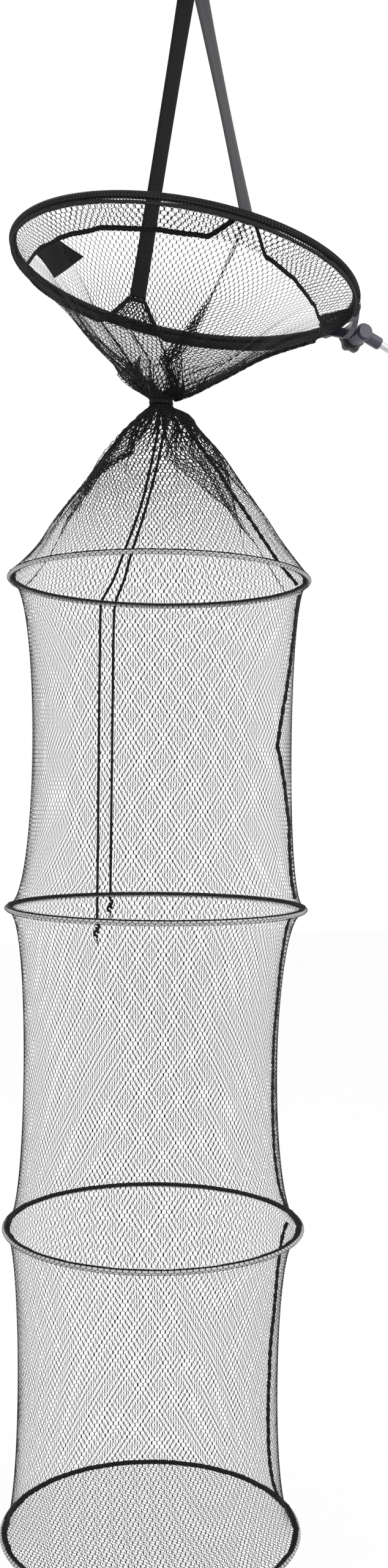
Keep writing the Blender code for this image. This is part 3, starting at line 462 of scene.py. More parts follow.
def sweep(name, path, section, finish, closed=False, outward=(0, 0, 1)):
    # section(i) gives (across, outward) pairs of a closed outline for point i of the path
    across, out = curveFrames(path, closed, outward)
    outline = np.array([section(i) for i in range(len(path))])
    points = np.asarray(path)[:, None] + across[:, None] * outline[..., :1] + out[:, None] * outline[..., 1:]
    return skin(name, points, finish, closed)


def roundSection(radius, sides, lobes=0, depth=0.0, twist=0.0):
    angles = np.arange(sides) / sides * math.tau

    def section(i):
        r = radius * (1 - depth + depth * np.abs(np.cos(lobes * angles / 2 + twist * i))) if lobes else radius
        return np.stack((r * np.cos(angles), r * np.sin(angles)), 1)

    return section


def smoothPath(route, count):
    # a curve through the route's points, cut into steps of one length
    points = np.asarray(route, float)
    points = np.concatenate((2 * points[:1] - points[1:2], points, 2 * points[-1:] - points[-2:-1]))
    dense = []
    t = np.linspace(0, 1, 20, endpoint=False)[:, None]
    for before, a, b, after in zip(points, points[1:], points[2:], points[3:]):
        bend, twist = 2 * before - 5 * a + 4 * b - after, 3 * a - before - 3 * b + after
        dense.append(0.5 * (2 * a + (b - before) * t + bend * t**2 + twist * t**3))
    dense = np.concatenate(dense + [points[-2:-1]])
    walked = lengthsAlong(dense)
    return valuesAt(np.linspace(0, walked[-1], count), walked, dense)


def wave(values, seeds, size):
    # smooth wobble with a repeatable shape: a few sines of unlike lengths
    total = 0
    for k, seed in enumerate(seeds):
        total = total + np.sin(values * seed + k * 1.7 + seed) / (k + 1)
    return total * size


# Shapes that several pieces share

ringShape = {"radius": 0.229, "tube": 0.004, "casing": 0.0051, "lip": 0.0055, "pitch": -1.3, "tilt": 9.9}
hoopShape = {"radius": 0.1966, "rod": 0.0025, "casing": 0.0034, "lean": (-3.9, 1.4)}
neckShape = {"radius": 0.0155, "half": 0.0063, "waist": 0.0118, "flare": 0.0152}


def middleOf(node):
    low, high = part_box(node)
    return np.array((low + high) / 2)


ringTurn = np.array(Euler((math.radians(ringShape["pitch"]), math.radians(ringShape["tilt"]), 0)).to_matrix())
ringMiddle = middleOf("head_ring")
firstLean = np.array(Euler(tuple(math.radians(a) for a in hoopShape["lean"]) + (0,)).to_matrix())
hoopMiddles = [middleOf(f"hoop_{i}") for i in (1, 2, 3, 4)]
neckMiddle = middleOf("neck_band")
neckTop, neckFoot = (neckMiddle + up * side * neckShape["half"] for side in (1, -1))
coneSpans = {  # two bodies, and the places where the netting follows each of them
    "upper": ("head", "neck", ringMiddle - up * 0.03, neckTop),
    "lower": ("neck", "hoop_one", neckFoot, hoopMiddles[0] + up * 0.02),
}
lipBottom = -ringShape["casing"] - ringShape["lip"]


def settle(piece, bodies, node=""):
    # bodies is one body's name, or two names and the places where the piece leaves the one for the other; a
    # piece given two is tied to neither body and only has its transform baked into its mesh
    if isinstance(bodies, str):
        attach(piece, bodies)
    else:
        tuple(bodies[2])
        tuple(bodies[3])
        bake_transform(piece)
    if node:
        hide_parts(node)


def around(angle):
    return np.stack((np.cos(angle), np.sin(angle), np.zeros_like(angle)), -1)


def onRing(angle, radius, height):
    angle, radius, height = np.broadcast_arrays(angle, radius, height)
    local = around(angle) * radius[..., None] + up * height[..., None]
    return ringMiddle + local @ ringTurn.T


def onHoop(index, angle, radius, height):
    angle, radius, height = np.broadcast_arrays(angle, radius, height)
    local = around(angle) * radius[..., None] + up * height[..., None]
    return hoopMiddles[index] + (local @ firstLean.T if index == 0 else local)


def angleAt(share):
    return share * math.tau - math.pi / 2


def easing(value, start, end):
    t = np.clip((value - start) / (end - start), 0, 1)
    return t * t * (3 - 2 * t)


def turnBetween(a, b):
    return (a - b + math.pi) % math.tau - math.pi


netCells = 160  # round the whole net, from the mouth to the last hoop
cellPitch = 0.0064
rowPitch = 0.0056
slackRadius = netCells * cellPitch * 0.95 / math.tau  # the netting hangs unstretched round this


foldShape = {"apart": 0.86, "wide": 2.36, "least": 0.02, "lift": 2.3, "full": 24, "grow": 0.3}


def pleated(angle, depth, slack, folds, stack):
    # netting keeps its cells' size, so what a narrowing cone has no room for lies in stacks of folds
    f = foldShape
    weights = [share * easing(depth, start, start + f["grow"]) + 1e-6 for _, share, start in folds]
    total = sum(weights)
    moved, lift = angle + 0 * depth, 0 * depth
    for (where, share, start), weight in zip(folds, weights):
        taken = slack * weight / total / stack
        apart = f["apart"] * math.tau * taken / (1 + slack)
        width = np.maximum(f["wide"] * taken / (1 + slack), f["least"])
        for k in range(stack):
            away = turnBetween(angle, math.radians(where) + (k - (stack - 1) / 2) * apart)
            t = away / width
            held = np.clip(t, -1, 1)
            moved = moved + taken * (away - math.pi * held * (1.5 - 0.5 * held**2))
            lift = lift - f["lift"] * t * np.exp(-(t**2)) * np.clip(taken * f["full"], 0, 1)
    return moved, lift


def finePleats(count):
    step = 360 / count
    return tuple((k * step + rng.uniform(-0.3, 0.3) * step, rng.uniform(0.5, 1.5), 0.0) for k in range(count))


def drawnIn(angle, depth, radius, net):
    slack = slackRadius / radius - 1
    main, lift = pleated(angle, depth, np.clip(slack, net["least"], net["most"]), net["folds"], 3)
    fine, fineLift = pleated(angle, depth, np.clip(slack - net["most"], 0, net["fineMost"]), net["pleats"], 1)
    return main + fine - angle, lift * net["lift"] + fineLift * net["lift"] * 0.5


def bulge(net, angle, depth):
    # how far the netting stands out from a straight cone
    out = 0 * depth
    for where, wide, low, long, size in net["bulges"]:
        away = np.degrees(turnBetween(angle, math.radians(where))) / wide
        out = out + size * np.exp(-(away**2) - ((depth - low) / long) ** 2)
    return out * easing(depth, 0.0, 0.04) * easing(1 - depth, 0.0, 0.04)


coneNet = {
    "cells": netCells, "rows": 48, "topRadius": 0.2301,
    "firstRow": 0.92,  # its height against the mean
    "least": 0.07, "most": 1.6, "fineMost": 3.0,  # slack that lies in the main folds, then in the fine pleats
    "lift": 0.003, "ripple": ((17, 31, 47), 0.0012),
    "folds": (  # degrees round, share of the slack, how far down it starts
        (-91, 3.0, 0.0), (-160, 0.9, 0.15), (-139, 0.5, 0.4), (-122, 0.6, 0.45), (-108, 0.7, 0.6),
        (-68, 0.3, 0.5), (-39, 0.4, 0.25), (-15, 0.5, 0.4), (12, 1.5, 0.05), (38, 0.4, 0.4), (60, 0.3, 0.45),
        (80, 0.8, 0.05), (88, 2.2, 0.0), (107, 1.0, 0.0), (118, 1.4, 0.0), (134, 0.9, 0.1), (152, 0.7, 0.3),
    ),
    "pleats": finePleats(25),
    # degrees round, how wide, how far down, how long, how far out
    "bulges": ((-10, 45, 0.35, 0.28, -0.010), (-36, 30, 0.88, 0.08, 0.012), (160, 45, 0.25, 0.2, -0.007),
               (160, 45, 0.85, 0.10, 0.006)),
    "swell": lambda v: easing(v, 0.2, 0.75) + 2.6 * easing(v, 0.84, 0.99),
}


def coneLine(angle):
    start = onRing(angle, coneNet["topRadius"], lipBottom)
    end = neckTop + around(angle) * neckShape["radius"]
    return start, end


def plainCone(angle, depth, out=0.0):
    start, end = coneLine(angle)
    out = out + bulge(coneNet, angle, depth)
    return start + (end - start) * depth[..., None] + (around(angle) - up * 0.5) * out[..., None]


lowerNet = {
    "cells": netCells, "rows": 49, "firstRow": 1.08, "least": 0.05, "most": 1.8, "fineMost": 2.5,
    "lift": 0.0035, "ripple": ((16, 29, 43), 0.0012),
    "folds": (
        (8, 2.6, 0.0), (22, 1.2, 0.1), (-6, 0.8, 0.25), (-38, 0.7, 0.35), (-62, 0.4, 0.5), (-95, 0.5, 0.6),
        (-130, 0.5, 0.5), (-168, 1.6, 0.05), (-178, 1.0, 0.15), (168, 0.9, 0.2), (141, 2.4, 0.0),
        (124, 0.8, 0.3), (90, 0.5, 0.6), (62, 0.4, 0.6),
    ),
    "pleats": finePleats(23),
    "bulges": ((-20, 55, 0.26, 0.24, 0.015), (160, 55, 0.20, 0.2, 0.006), (-20, 60, 0.05, 0.05, 0.006),
               (-20, 55, 0.6, 0.15, 0.006), (160, 50, 0.85, 0.12, -0.007)),
    "swell": lambda v: easing(1 - v, 0.25, 0.75) + 2.6 * easing(1 - v, 0.80, 0.99),
}


def plainLowerCone(angle, depth, out=0.0):
    start = neckFoot + around(angle) * neckShape["radius"]
    end = onHoop(0, angle, hoopShape["radius"], hoopShape["casing"])
    out = out + bulge(lowerNet, angle, depth)
    return start + (end - start) * depth[..., None] + around(angle) * out[..., None]


def folded(net, plain, top, foot):
    # where a cone's netting lies with its folds; its rows stand further apart towards the neck
    def place(u, v):
        angle = angleAt(u)
        depth = v * (net["firstRow"] + (1 - net["firstRow"]) * v)
        share = np.clip(depth, 0, 1)
        moved, lift = drawnIn(angle, depth if top > foot else 1 - depth, top + (foot - top) * share, net)
        out = (lift + wave(angle, *net["ripple"])) * np.sin(math.pi * share) ** 0.6
        return plain(moved, depth, out)

    return place


sectionNet = {
    "cells": netCells,
    "waists": ((0.0265, -0.005), (0.0290, 0.0040), (0.0250, 0.0070)),  # mean depth, more towards the right
    "towards": 20,  # degrees, the way in which it is more
    "bend": 0.43, "wobble": ((3, 5, 9, 14), 0.0014), "warp": ((1, 2, 3), 0.002),
}


def sectionPlace(index):
    waist, lopside = sectionNet["waists"][index]

    def place(u, v):
        angle = angleAt(u)
        share = np.clip(v, 0, 1)
        fall = waist + lopside * np.cos(angle + math.radians(sectionNet["towards"]))
        shape = np.maximum(4 * share * (1 - share), 0) ** sectionNet["bend"]
        wobble = wave(angle + index, *sectionNet["wobble"]) * np.sin(math.pi * share)
        radius = hoopShape["radius"] - fall * shape + wobble
        fade = (1 - v) ** 3 if index == 0 else np.zeros_like(v)
        level = hoopMiddles[index] + around(angle) * radius[..., None] - up * hoopShape["casing"]
        leaning = onHoop(index, angle, radius, -hoopShape["casing"])
        above = level + (leaning - level) * fade[..., None]
        below = hoopMiddles[index + 1] + around(angle) * radius[..., None] + up * hoopShape["casing"]
        turn = wave(v * 5 + angle, *sectionNet["warp"]) * np.sin(math.pi * share)
        aside = np.stack((-np.sin(angle), np.cos(angle), np.zeros_like(angle)), -1)
        return above + (below - above) * v[..., None] + aside * turn[..., None]

    return place


# Netting of the body

bodyNames = ("hoop_one", "hoop_two", "hoop_three", "hoop_four")
sectionSpans = list(zip(bodyNames, bodyNames[1:], hoopMiddles, hoopMiddles[1:]))


def settleNet(piece, bodies, node):
    # netting settles like any other piece
    settle(piece, bodies, node)


def makeSections():
    for index, (_, _, above, below) in enumerate(sectionSpans):
        net = dict(sectionNet, rows=round((above[2] - below[2]) / rowPitch))
        halves = hexNet(f"netSection{index + 1}", sectionPlace(index), net, parts=("Right", "Left"))
        for piece in halves:
            settleNet(piece, sectionSpans[index], f"net_section_{index + 1}")
        print("section", index + 1, sum(len(p.data.polygons) for p in halves), "faces")


def makeCones():
    neck = neckShape["radius"]
    for side, net, place in (
        ("upper", coneNet, folded(coneNet, plainCone, coneNet["topRadius"], neck)),
        ("lower", lowerNet, folded(lowerNet, plainLowerCone, neck, hoopShape["radius"])),
    ):
        cone, = hexNet(side + "Cone", place, net)
        settleNet(cone, coneSpans[side], side + "_cone")
    print("cones")


hoopWrap = {"rows": 4, "post": 0.0011, "leg": 0.0005, "radius": 0.0032}
hoopEdge = {
    "middle": -0.0034, "rise": 0.0022, "half": 0.0038, "slope": 22, "thickness": 0.0006,
    "pitch": 0.0031, "thread": 0.0004, "steps": 320, "sway": ((7, 13, 19), 0.0005),
}


def hoopBand(index, name, finish, along, off):
    # a closed strip round the hoop; along and off are measured in the strip's own slope
    e = hoopEdge
    c, d = math.cos(math.radians(e["slope"])), math.sin(math.radians(e["slope"]))
    angle = (np.arange(len(along)) / len(along) * math.tau)[:, None]
    sway = wave(angle * 3 + index, *e["sway"])
    out, high = e["middle"] + sway + along * c - off * d, e["rise"] + along * d + off * c
    points = onHoop(index, angle, hoopShape["radius"] + out, high)
    if along.shape[1] > 1:
        return skin(name, points, finish, closed=True)
    return sweep(name, points[:, 0], roundSection(e["thread"], 4), finish, closed=True)


def makeHoops():
    for index, body in enumerate(bodyNames):
        steps = np.arange(hoopEdge["steps"]) / hoopEdge["steps"] * math.tau
        rim = onHoop(index, steps, hoopShape["radius"], 0.0)
        rod = sweep(f"hoopRod{index + 1}", rim, roundSection(hoopShape["rod"], 12), "hoop_rod", closed=True)
        settle(rod, body, f"hoop_{index + 1}")

        def place(u, v, index=index):
            angle, turn = u * math.tau, v * math.tau - math.pi
            radius = hoopShape["radius"] + hoopWrap["radius"] * np.cos(turn)
            return onHoop(index, angle, radius, -hoopWrap["radius"] * np.sin(turn))

        wrap, = hexNet(f"hoopCasing{index + 1}", place, dict(hoopWrap, cells=netCells))
        settleNet(wrap, body, f"hoop_casing_{index + 1}")

        e = hoopEdge
        turns = int(math.tau * hoopShape["radius"] / e["pitch"])
        ripple = np.arange(turns * 2)[:, None]
        wide = e["half"] * (1 + 0.14 * np.sin(ripple * 1.9) + 0.12 * np.sin(ripple * 0.7))
        along = wide * np.array((-0.85, 0.85, 1.0, 0.85, -0.85, -1.0))
        off = e["thickness"] * np.array((-1, -1, 0, 1, 1, 0)) + 0 * wide
        edge = hoopBand(index, f"hoopEdge{index + 1}", "ribbon", along, off)
        turn = np.arange(turns * 6)[:, None] / 6 * math.tau
        loops = hoopBand(index, f"hoopStitch{index + 1}", "thread", np.cos(turn) * (e["half"] + e["thread"]),
                         np.sin(turn) * (e["thickness"] + e["thread"]))
        for piece in (edge, loops):
            settle(piece, body)
    print("hoops")


baseNet = {"cells": 62, "rows": 70, "sag": 0.004, "warp": 0.0008}


def makeBase():
    size = 2 * hoopShape["radius"]
    limit = hoopShape["radius"] - hoopShape["rod"]

    def spread(u, v):
        x, y = (u - 0.5) * size, (0.5 - v) * size
        return x, y, np.hypot(x, y)

    def place(u, v):
        x, y, r = spread(u, v)
        inside = np.minimum(r, limit) / np.maximum(r, 1e-9)
        x, y, r = x * inside, y * inside, r * inside
        share = r / limit
        dip = baseNet["sag"] * (1 - share**2) + wave(x * 40 + y * 25, (1, 2), baseNet["warp"]) * (1 - share)
        return hoopMiddles[3] + np.stack((x, y, -dip), -1)

    net = dict(baseNet, closed=False, keep=lambda u, v: spread(u, v)[2] < limit)
    base, = hexNet("baseNet", place, net)
    settleNet(base, "hoop_four", "base_net")
    print("base")


makeSections()
makeCones()
makeHoops()
makeBase()


# Mouth

collarShares = (
    0.70, 0.40, 0.22, 0.18, 0.16, 0.16, 0.16, 0.16, 0.16, 0.22, 0.38, 0.56,
    0.64, 0.66, 0.62, 0.58, 0.60, 0.56, 0.50, 0.62, 0.80, 0.92, 0.94, 0.84,
)  # how far the collar reaches down, every 15 degrees from the angle lock round by the far strap end
collarShape = {"width": 0.054, "inset": 0.0014, "lift": 0.0022, "ripple": ((21, 38, 55), 0.0012)}
hemShape = {
    "width": 0.0066, "thickness": 0.0022, "endRadius": 0.2165, "ripple": ((19, 33, 52), 0.0006),
    "ends": ((-90, 8, -0.001), (90, 10, 0.029)),  # degrees round, how far either side it is drawn, how high
    "endHalf": 3.2, "bend": 1.3,
}


def collarReach(angle):
    turn = np.asarray(angle) / math.tau % 1 * len(collarShares)
    table = np.array(collarShares + collarShares[:1])
    return collarShape["width"] * np.interp(turn, np.arange(len(table)), table)


def hemPath(angle):
    angle = np.asarray(angle, float)
    start, end = coneLine(angle)
    down = unit(end - start)
    hanging = start + down * (collarReach(angle) + wave(angle, *hemShape["ripple"]))[..., None]
    hanging = hanging - around(angle) * collarShape["lift"]
    share = np.zeros_like(angle)
    rise = np.zeros_like(angle)
    for where, wide, high in hemShape["ends"]:
        away = np.degrees(np.abs(turnBetween(angle, math.radians(where))))
        drawn = np.clip(1 - np.maximum(away - hemShape["endHalf"], 0) / wide, 0, 1) ** hemShape["bend"]
        share = share + drawn
        rise = rise + drawn * high
    high = np.where(share > 0, rise / np.maximum(share, 1e-6), 0)
    pulled = onRing(angle, np.full_like(angle, hemShape["endRadius"]), high)
    return hanging + (pulled - hanging) * np.clip(share, 0, 1)[..., None]


ringWrap = {
    "layers": (0.0044, 0.0048), "rows": 7, "post": 0.0013, "leg": 0.0009, "slant": 0.012, "share": 0.55,
    "aside": 0.0021, "turned": 0.5,  # how far the second layer lies from the first
}
ringLip = {
    "thickness": 0.0016, "pitch": 0.0042, "thread": 0.0005, "steps": 480,
    "under": 0.0002, "over": 0.001, "clear": 0.0003, "ripple": ((31, 57, 83), 0.0002),
    "gap": 0.0024, "gaps": ((-124, 15), (-70, 13), (-22, 6)),  # degrees round and how wide
}


def makeHeadRing():
    steps = np.arange(360) / 360 * math.tau
    rim = onRing(steps, ringShape["radius"], 0.0)
    tube = sweep("headTube", rim, roundSection(ringShape["tube"], 16), "ring_tube", closed=True)
    settle(tube, "head", "head_ring")

    for layer, radius in enumerate(ringWrap["layers"]):
        def place(u, v, layer=layer, radius=radius):
            angle = (u + layer * ringWrap["aside"]) * math.tau
            turn = angleAt(v) + layer * ringWrap["turned"]
            angle = angle + turn * ringWrap["slant"]
            return onRing(angle, ringShape["radius"] + radius * np.cos(turn), -radius * np.sin(turn))

        wrap, = hexNet(f"headCasing{layer + 1}", place, dict(ringWrap, cells=netCells * 2))
        settleNet(wrap, "head", "" if layer else "head_casing")

    # the lip: both edges of the netting inside a folded tape, overlocked, with gaps where it has pulled away
    steps = np.arange(ringLip["steps"]) / ringLip["steps"] * math.tau
    pulled = 0
    for where, wide in ringLip["gaps"]:
        pulled = pulled + np.exp(-((np.degrees(turnBetween(steps, math.radians(where))) / wide) ** 4))
    top = -ringShape["tube"] - ringLip["under"] - ringLip["gap"] * pulled
    height = (top + lipBottom) / 2 + wave(steps, *ringLip["ripple"])
    path = onRing(steps, ringShape["radius"], height)

    def section(i):
        half = (top[i] - lipBottom) / 2
        thick = ringLip["thickness"] * (1 + 0.12 * math.sin(i * 2.4) + 0.08 * math.sin(i * 0.9))
        return [(-thick, -half * 0.75), (-thick * 0.5, -half), (thick * 0.5, -half), (thick, -half * 0.75),
                (thick, half * 0.8), (thick * 0.4, half), (-thick * 0.4, half), (-thick, half * 0.8)]

    lip = sweep("headLip", path, section, "tape", closed=True, outward=ringTurn @ up)
    turns = int(math.tau * ringShape["radius"] / ringLip["pitch"])
    turn = np.arange(turns * 6) / 6 * math.tau
    angle = np.arange(turns * 6) / (turns * 6) * math.tau
    high = -ringShape["tube"] + ringLip["over"]
    out = np.cos(turn) * (ringLip["thickness"] + ringLip["clear"])
    level = (high + lipBottom) / 2 + np.sin(turn) * (high - lipBottom) / 2
    thread = onRing(angle, ringShape["radius"] + out, level)
    stitches = sweep("headLipThread", thread, roundSection(ringLip["thread"], 4), "thread", closed=True,
                     outward=ringTurn @ up)
    for piece in (lip, stitches):
        settle(piece, "head")
    print("head ring")


collarNet = {
    "cells": netCells, "rows": 10, "jitter": 0.05, "post": 0.0016, "leg": 0.0006,
    "reach": 0.056, "margin": 0.001,
}


def makeCollar():
    def reachAt(u):
        return collarReach(angleAt(u)) + collarNet["margin"]

    def place(u, v):
        angle = angleAt(u)
        start, end = coneLine(angle)
        down = unit(end - start)
        deep = np.minimum(v * collarNet["reach"], reachAt(u))
        crumple = wave(angle, *collarShape["ripple"]) * easing(deep, 0.0, 0.02)
        inset = collarShape["inset"] + np.abs(crumple)
        return start + down * deep[..., None] - around(angle) * inset[..., None]

    net = dict(collarNet, keep=lambda u, v: v * collarNet["reach"] < reachAt(u))
    collar, = hexNet("innerCollar", place, net)
    settleNet(collar, "head", "collar")
    print("collar")


bunchNet = {
    "cells": 20, "rows": 12, "jitter": 0.35, "post": 0.0021, "leg": 0.0014, "layers": 3, "closed": False,
    "corner": -17.0, "span": 24.0, "hem": -33.0,  # degrees round
    "inset": 0.004, "cornerRise": -0.003, "footRise": -0.005, "crumple": 0.0012, "apart": 0.0008,
    "share": 0.45,
}
footNet = {
    "cells": 16, "rows": 12, "jitter": 0.3, "post": 0.0024, "leg": 0.0016, "closed": False,
    "from": -27.0, "to": 3.0, "middle": -11.0, "wide": 8,  # degrees round
    "reach": 0.0053, "mound": 0.0024, "lopside": 0.0012, "out": 0.001, "share": 0.8,
}


def makeBunch():
    # the collar's slack end, drawn up beside the angle lock
    b = bunchNet
    inside = ringShape["radius"] - b["inset"]
    corner = onRing(np.radians(b["corner"]), inside, b["cornerRise"])
    hemEnd = hemPath(np.radians(b["hem"]))
    for layer in range(b["layers"]):
        def place(u, v, layer=layer):
            low = np.clip(v, 0, 1)
            foot = onRing(np.radians(b["corner"] + b["span"] * u), inside, b["footRise"])
            top = corner + (hemEnd - corner) * u[..., None]
            crumple = wave(u * 15 + v * 8 + layer * 2, (1, 2, 3), b["crumple"]) * np.sin(math.pi * low)
            return top + (foot - top) * low[..., None] + up * (crumple - b["apart"] * layer)[..., None]

        bunch, = hexNet(f"collarBunch{layer + 1}", place, b)
        settleNet(bunch, "head", "")

    # netting pulled over the lock's upper foot
    f = footNet

    def over(u, v):
        degrees = f["from"] + (f["to"] - f["from"]) * u
        mound = np.exp(-(((degrees - f["middle"]) / f["wide"]) ** 4))
        turn = angleAt(v)
        reach = f["reach"] + mound * (f["mound"] + f["lopside"] * np.cos(turn))
        out = reach * np.cos(turn) + mound * f["out"]
        return onRing(np.radians(degrees), ringShape["radius"] + out, -reach * np.sin(turn))

    foot, = hexNet("lockFootNet", over, f)
    settleNet(foot, "head", "")
    print("bunched netting")


def makeHem():
    # two ribbons, each drawn up to one strap end and sewn on round to the other
    for name, middle in (("hemNear", -90), ("hemFar", 90)):
        angles = np.radians(np.linspace(middle - 90, middle + 90, 421))
        path = hemPath(angles)
        half, thick = hemShape["width"] / 2, hemShape["thickness"] / 2

        def section(i, half=half, thick=thick):
            wide = half * (1 + 0.10 * math.sin(i * 1.3) + 0.08 * math.sin(i * 2.9))
            return [(-thick, -wide * 0.7), (0, -wide), (thick, -wide * 0.7), (thick, wide * 0.7), (0, wide),
                    (-thick, wide * 0.7)]

        ribbon = sweep(name, path, section, "ribbon", outward=up)
        side = math.copysign(1, middle)
        held, free = ((0, side * reach, ringMiddle[2]) for reach in (0.217, 0.165))
        settle(ribbon, ("strap", "head", held, free), "hem_ribbon" if middle < 0 else "")
    print("hem")


gussetNet = {
    "cells": 18, "rows": 9, "jitter": 0.14, "post": 0.0017, "leg": 0.0008,
    "spread": 13.0, "inset": 0.0055, "apart": 0.0012, "belly": 0.0012, "long": 0.042,
}


def makeGusset():
    for layer in (0, 1, 2):
        def place(u, v, layer=layer):
            g = gussetNet
            angle = math.radians(90) + (u - 0.5) * 2 * math.radians(g["spread"])
            top = hemPath(angle)
            foot = onRing(angle, ringShape["radius"] - g["inset"] - layer * g["apart"], lipBottom)
            low = np.clip(v, 0, 1)[..., None]
            belly = wave(angle * 12 + v * 3 + layer, (3, 7), g["belly"]) * np.sin(math.pi * np.clip(v, 0, 1))
            return top + (foot - top) * low - around(angle) * belly[..., None]

        gusset, = hexNet(f"strapGusset{layer + 1}", place, dict(gussetNet, closed=False))
        held, free = ((0, reach, ringMiddle[2] + rise) for reach, rise in ((0.217, 0.02), (0.2235, -0.012)))
        settleNet(gusset, ("strap", "head", held, free), "" if layer else "strap_gusset")
    print("gusset")


labelShape = {
    "corners": (  # along the hem, then below it
        (-0.2170, -0.0305, -0.4144), (-0.1981, -0.0692, -0.4069),
        (-0.1662, -0.0684, -0.4248), (-0.1935, -0.0354, -0.4445),
    ),
    "thickness": 0.0009, "fold": 0.0035,
}


def makeLabel():
    hemLeft, hemRight, lowRight, lowLeft = (np.array(c) for c in labelShape["corners"])
    inward = unit(np.cross(hemRight - hemLeft, lowLeft - hemLeft))
    thin = labelShape["thickness"] / 2
    count = 22
    grid = np.linspace(0, 1, count)
    a, b = np.meshgrid(grid, grid)
    bow = np.sin(math.pi * a) * b + 0.4 * np.sin(math.pi * b * 0.8) + 0.2 * np.sin(a * 9 + b * 5)
    top = hemLeft + (hemRight - hemLeft) * a[..., None]
    low = lowLeft + (lowRight - lowLeft) * a[..., None]
    middle = top + (low - top) * b[..., None] + inward * labelShape["fold"] * bow[..., None]
    sheets = [middle + inward * thin, middle - inward * thin]
    points = np.concatenate([s.reshape(-1, 3) for s in sheets])
    index = np.arange(count * count).reshape(count, count)
    face = np.stack((index[:-1, :-1], index[:-1, 1:], index[1:, 1:], index[1:, :-1]), -1).reshape(-1, 4)
    rim = np.concatenate((index[0, :-1], index[:-1, -1], index[-1, :0:-1], index[:0:-1, 0]))
    step = np.roll(rim, -1)
    back = count * count
    edge = np.stack((rim, rim + back, step + back, step), 1)
    maps = np.tile(np.stack((a, b), -1).reshape(-1, 2), (2, 1))
    faces = np.concatenate((face[:, ::-1], face + back, edge))
    label = meshFrom("labelFlap", points, faces, "label", maps)
    settle(label, "head", "label_flap")
    print("label")


strapShape = {
    "width": 0.025, "thickness": 0.0016, "bend": 0.006, "sections": 90,
    "legs": ((-1, 0.004, 18, 30), (1, 0.0326, 18, 5)),  # side, foot's height, twist midway and at the foot
}


def makeStrap():
    s = strapShape
    arcRadius = s["bend"] + s["thickness"] / 2
    top = np.array((0, 0, -s["bend"]))
    rows = []
    for side, rise, twist, footTwist in s["legs"]:
        foot = onRing(np.array(side * math.pi / 2), hemShape["endRadius"], rise)
        spread = math.atan2(abs(foot[1]), top[2] - foot[2])
        reach = math.hypot(foot[1], foot[2] - top[2])
        slope = spread + math.asin(arcRadius / reach)
        leave = top + np.array((0, side * arcRadius * math.cos(slope), arcRadius * math.sin(slope)))
        leg = []
        along = unit(leave - foot)
        for share in np.linspace(0, 1, s["sections"]):
            midway = math.sin(math.pi * min(1, share * 2, (1 - share) * 3) / 2)
            turn = math.radians(twist * midway + footTwist * (1 - share))
            level = np.array((math.cos(turn), math.sin(turn), 0))
            across = unit(level - along * (level @ along))
            if share == 0 and side > 0:
                across = ringTurn @ np.array((1.0, 0, 0))
            leg.append((foot + (leave - foot) * share, across, np.cross(across, along) * -side))
        for i in range(1, 13):
            angle = slope + (math.pi / 2 - slope) * i / 12
            out = np.array((0, side * math.cos(angle), math.sin(angle)))
            leg.append((top + out * arcRadius, np.array((1.0, 0, 0)), out))
        rows.append(leg)
    walk = rows[0] + rows[1][-2::-1]
    half, thin = s["width"] / 2, s["thickness"] / 2
    wide = half * np.array((-1, -0.97, -0.5, 0, 0.5, 0.97, 1, 0.97, 0.5, 0, -0.5, -0.97))
    deep = thin * np.array((0, 1, 1, 1, 1, 1, 0, -1, -1, -1, -1, -1))
    centre, across, out = (np.array(column)[:, None] for column in zip(*walk))
    walked = lengthsAlong(centre[:, 0])
    points = centre + across * wide[:, None] + unit(out) * deep[:, None]
    maps = np.stack(np.broadcast_arrays(wide / s["width"] + 0.5, walked[:, None]), -1).reshape(-1, 2)
    strap = skin("carryStrap", points, "webbing", maps=maps)
    # the faces on the strap's inner side get the darker copy of the webbing: painted shade
    strap.data.materials.append(finishes["webbingPaintedShade"])
    inner = np.flatnonzero(deep + np.roll(deep, -1) < 0)
    kinds = np.isin(np.arange(len(strap.data.polygons)) % len(deep), inner).astype(np.int32)
    strap.data.polygons.foreach_set("material_index", kinds)
    settle(strap, "strap", "carry_strap")
    print("strap, %.2f m" % walked[-1])


makeHeadRing()
makeCollar()
makeBunch()
makeHem()
makeGusset()
makeLabel()
makeStrap()


# Seams: netting edges rolled together, with overlock stitches round them

seamShape = {
    "width": 0.0046, "thickness": 0.0026, "stitch": 0.0045, "push": 0.0018,
    "upperSwell": 2.1, "lowerSwell": 1.4, "sideSwells": (1.6, 1.35, 1.5),
    "upperSteps": 90, "lowerSteps": 100, "sideSteps": 140,
    "thread": 0.0003, "aside": 0.0006, "above": 0.0004,  # the stitches' radius, how far they clear the roll
}


def makeSeam(name, path, outward, span, node, swell):
    half, thick = seamShape["width"] / 2 * swell, seamShape["thickness"] / 2 * swell
    angles = np.arange(8) / 8 * math.tau

    def section(i):
        lumpy = 1 + 0.22 * math.sin(i * 1.1) + 0.15 * math.sin(i * 2.7 + 1)
        return np.stack((np.cos(angles) * half * lumpy, np.sin(angles) * thick * lumpy), 1)

    roll = sweep(name, path, section, "ribbon", outward=outward)
    walked = lengthsAlong(path)
    turns = int(walked[-1] / seamShape["stitch"])
    places = np.linspace(0, walked[-1], turns * 6)
    centre = valuesAt(places, walked, path)
    across, out = curveFrames(centre, False, valuesAt(places, walked, outward))
    turn = np.arange(len(places)) / 6 * math.tau
    aside = np.cos(turn) * (half + seamShape["aside"])
    above = np.sin(turn) * (thick + seamShape["above"])
    loop = centre + across * aside[:, None] + out * above[:, None]
    thread = sweep(name + "Thread", loop, roundSection(seamShape["thread"], 4), "thread", outward=out)
    settle(roll, span, node)
    settle(thread, span)


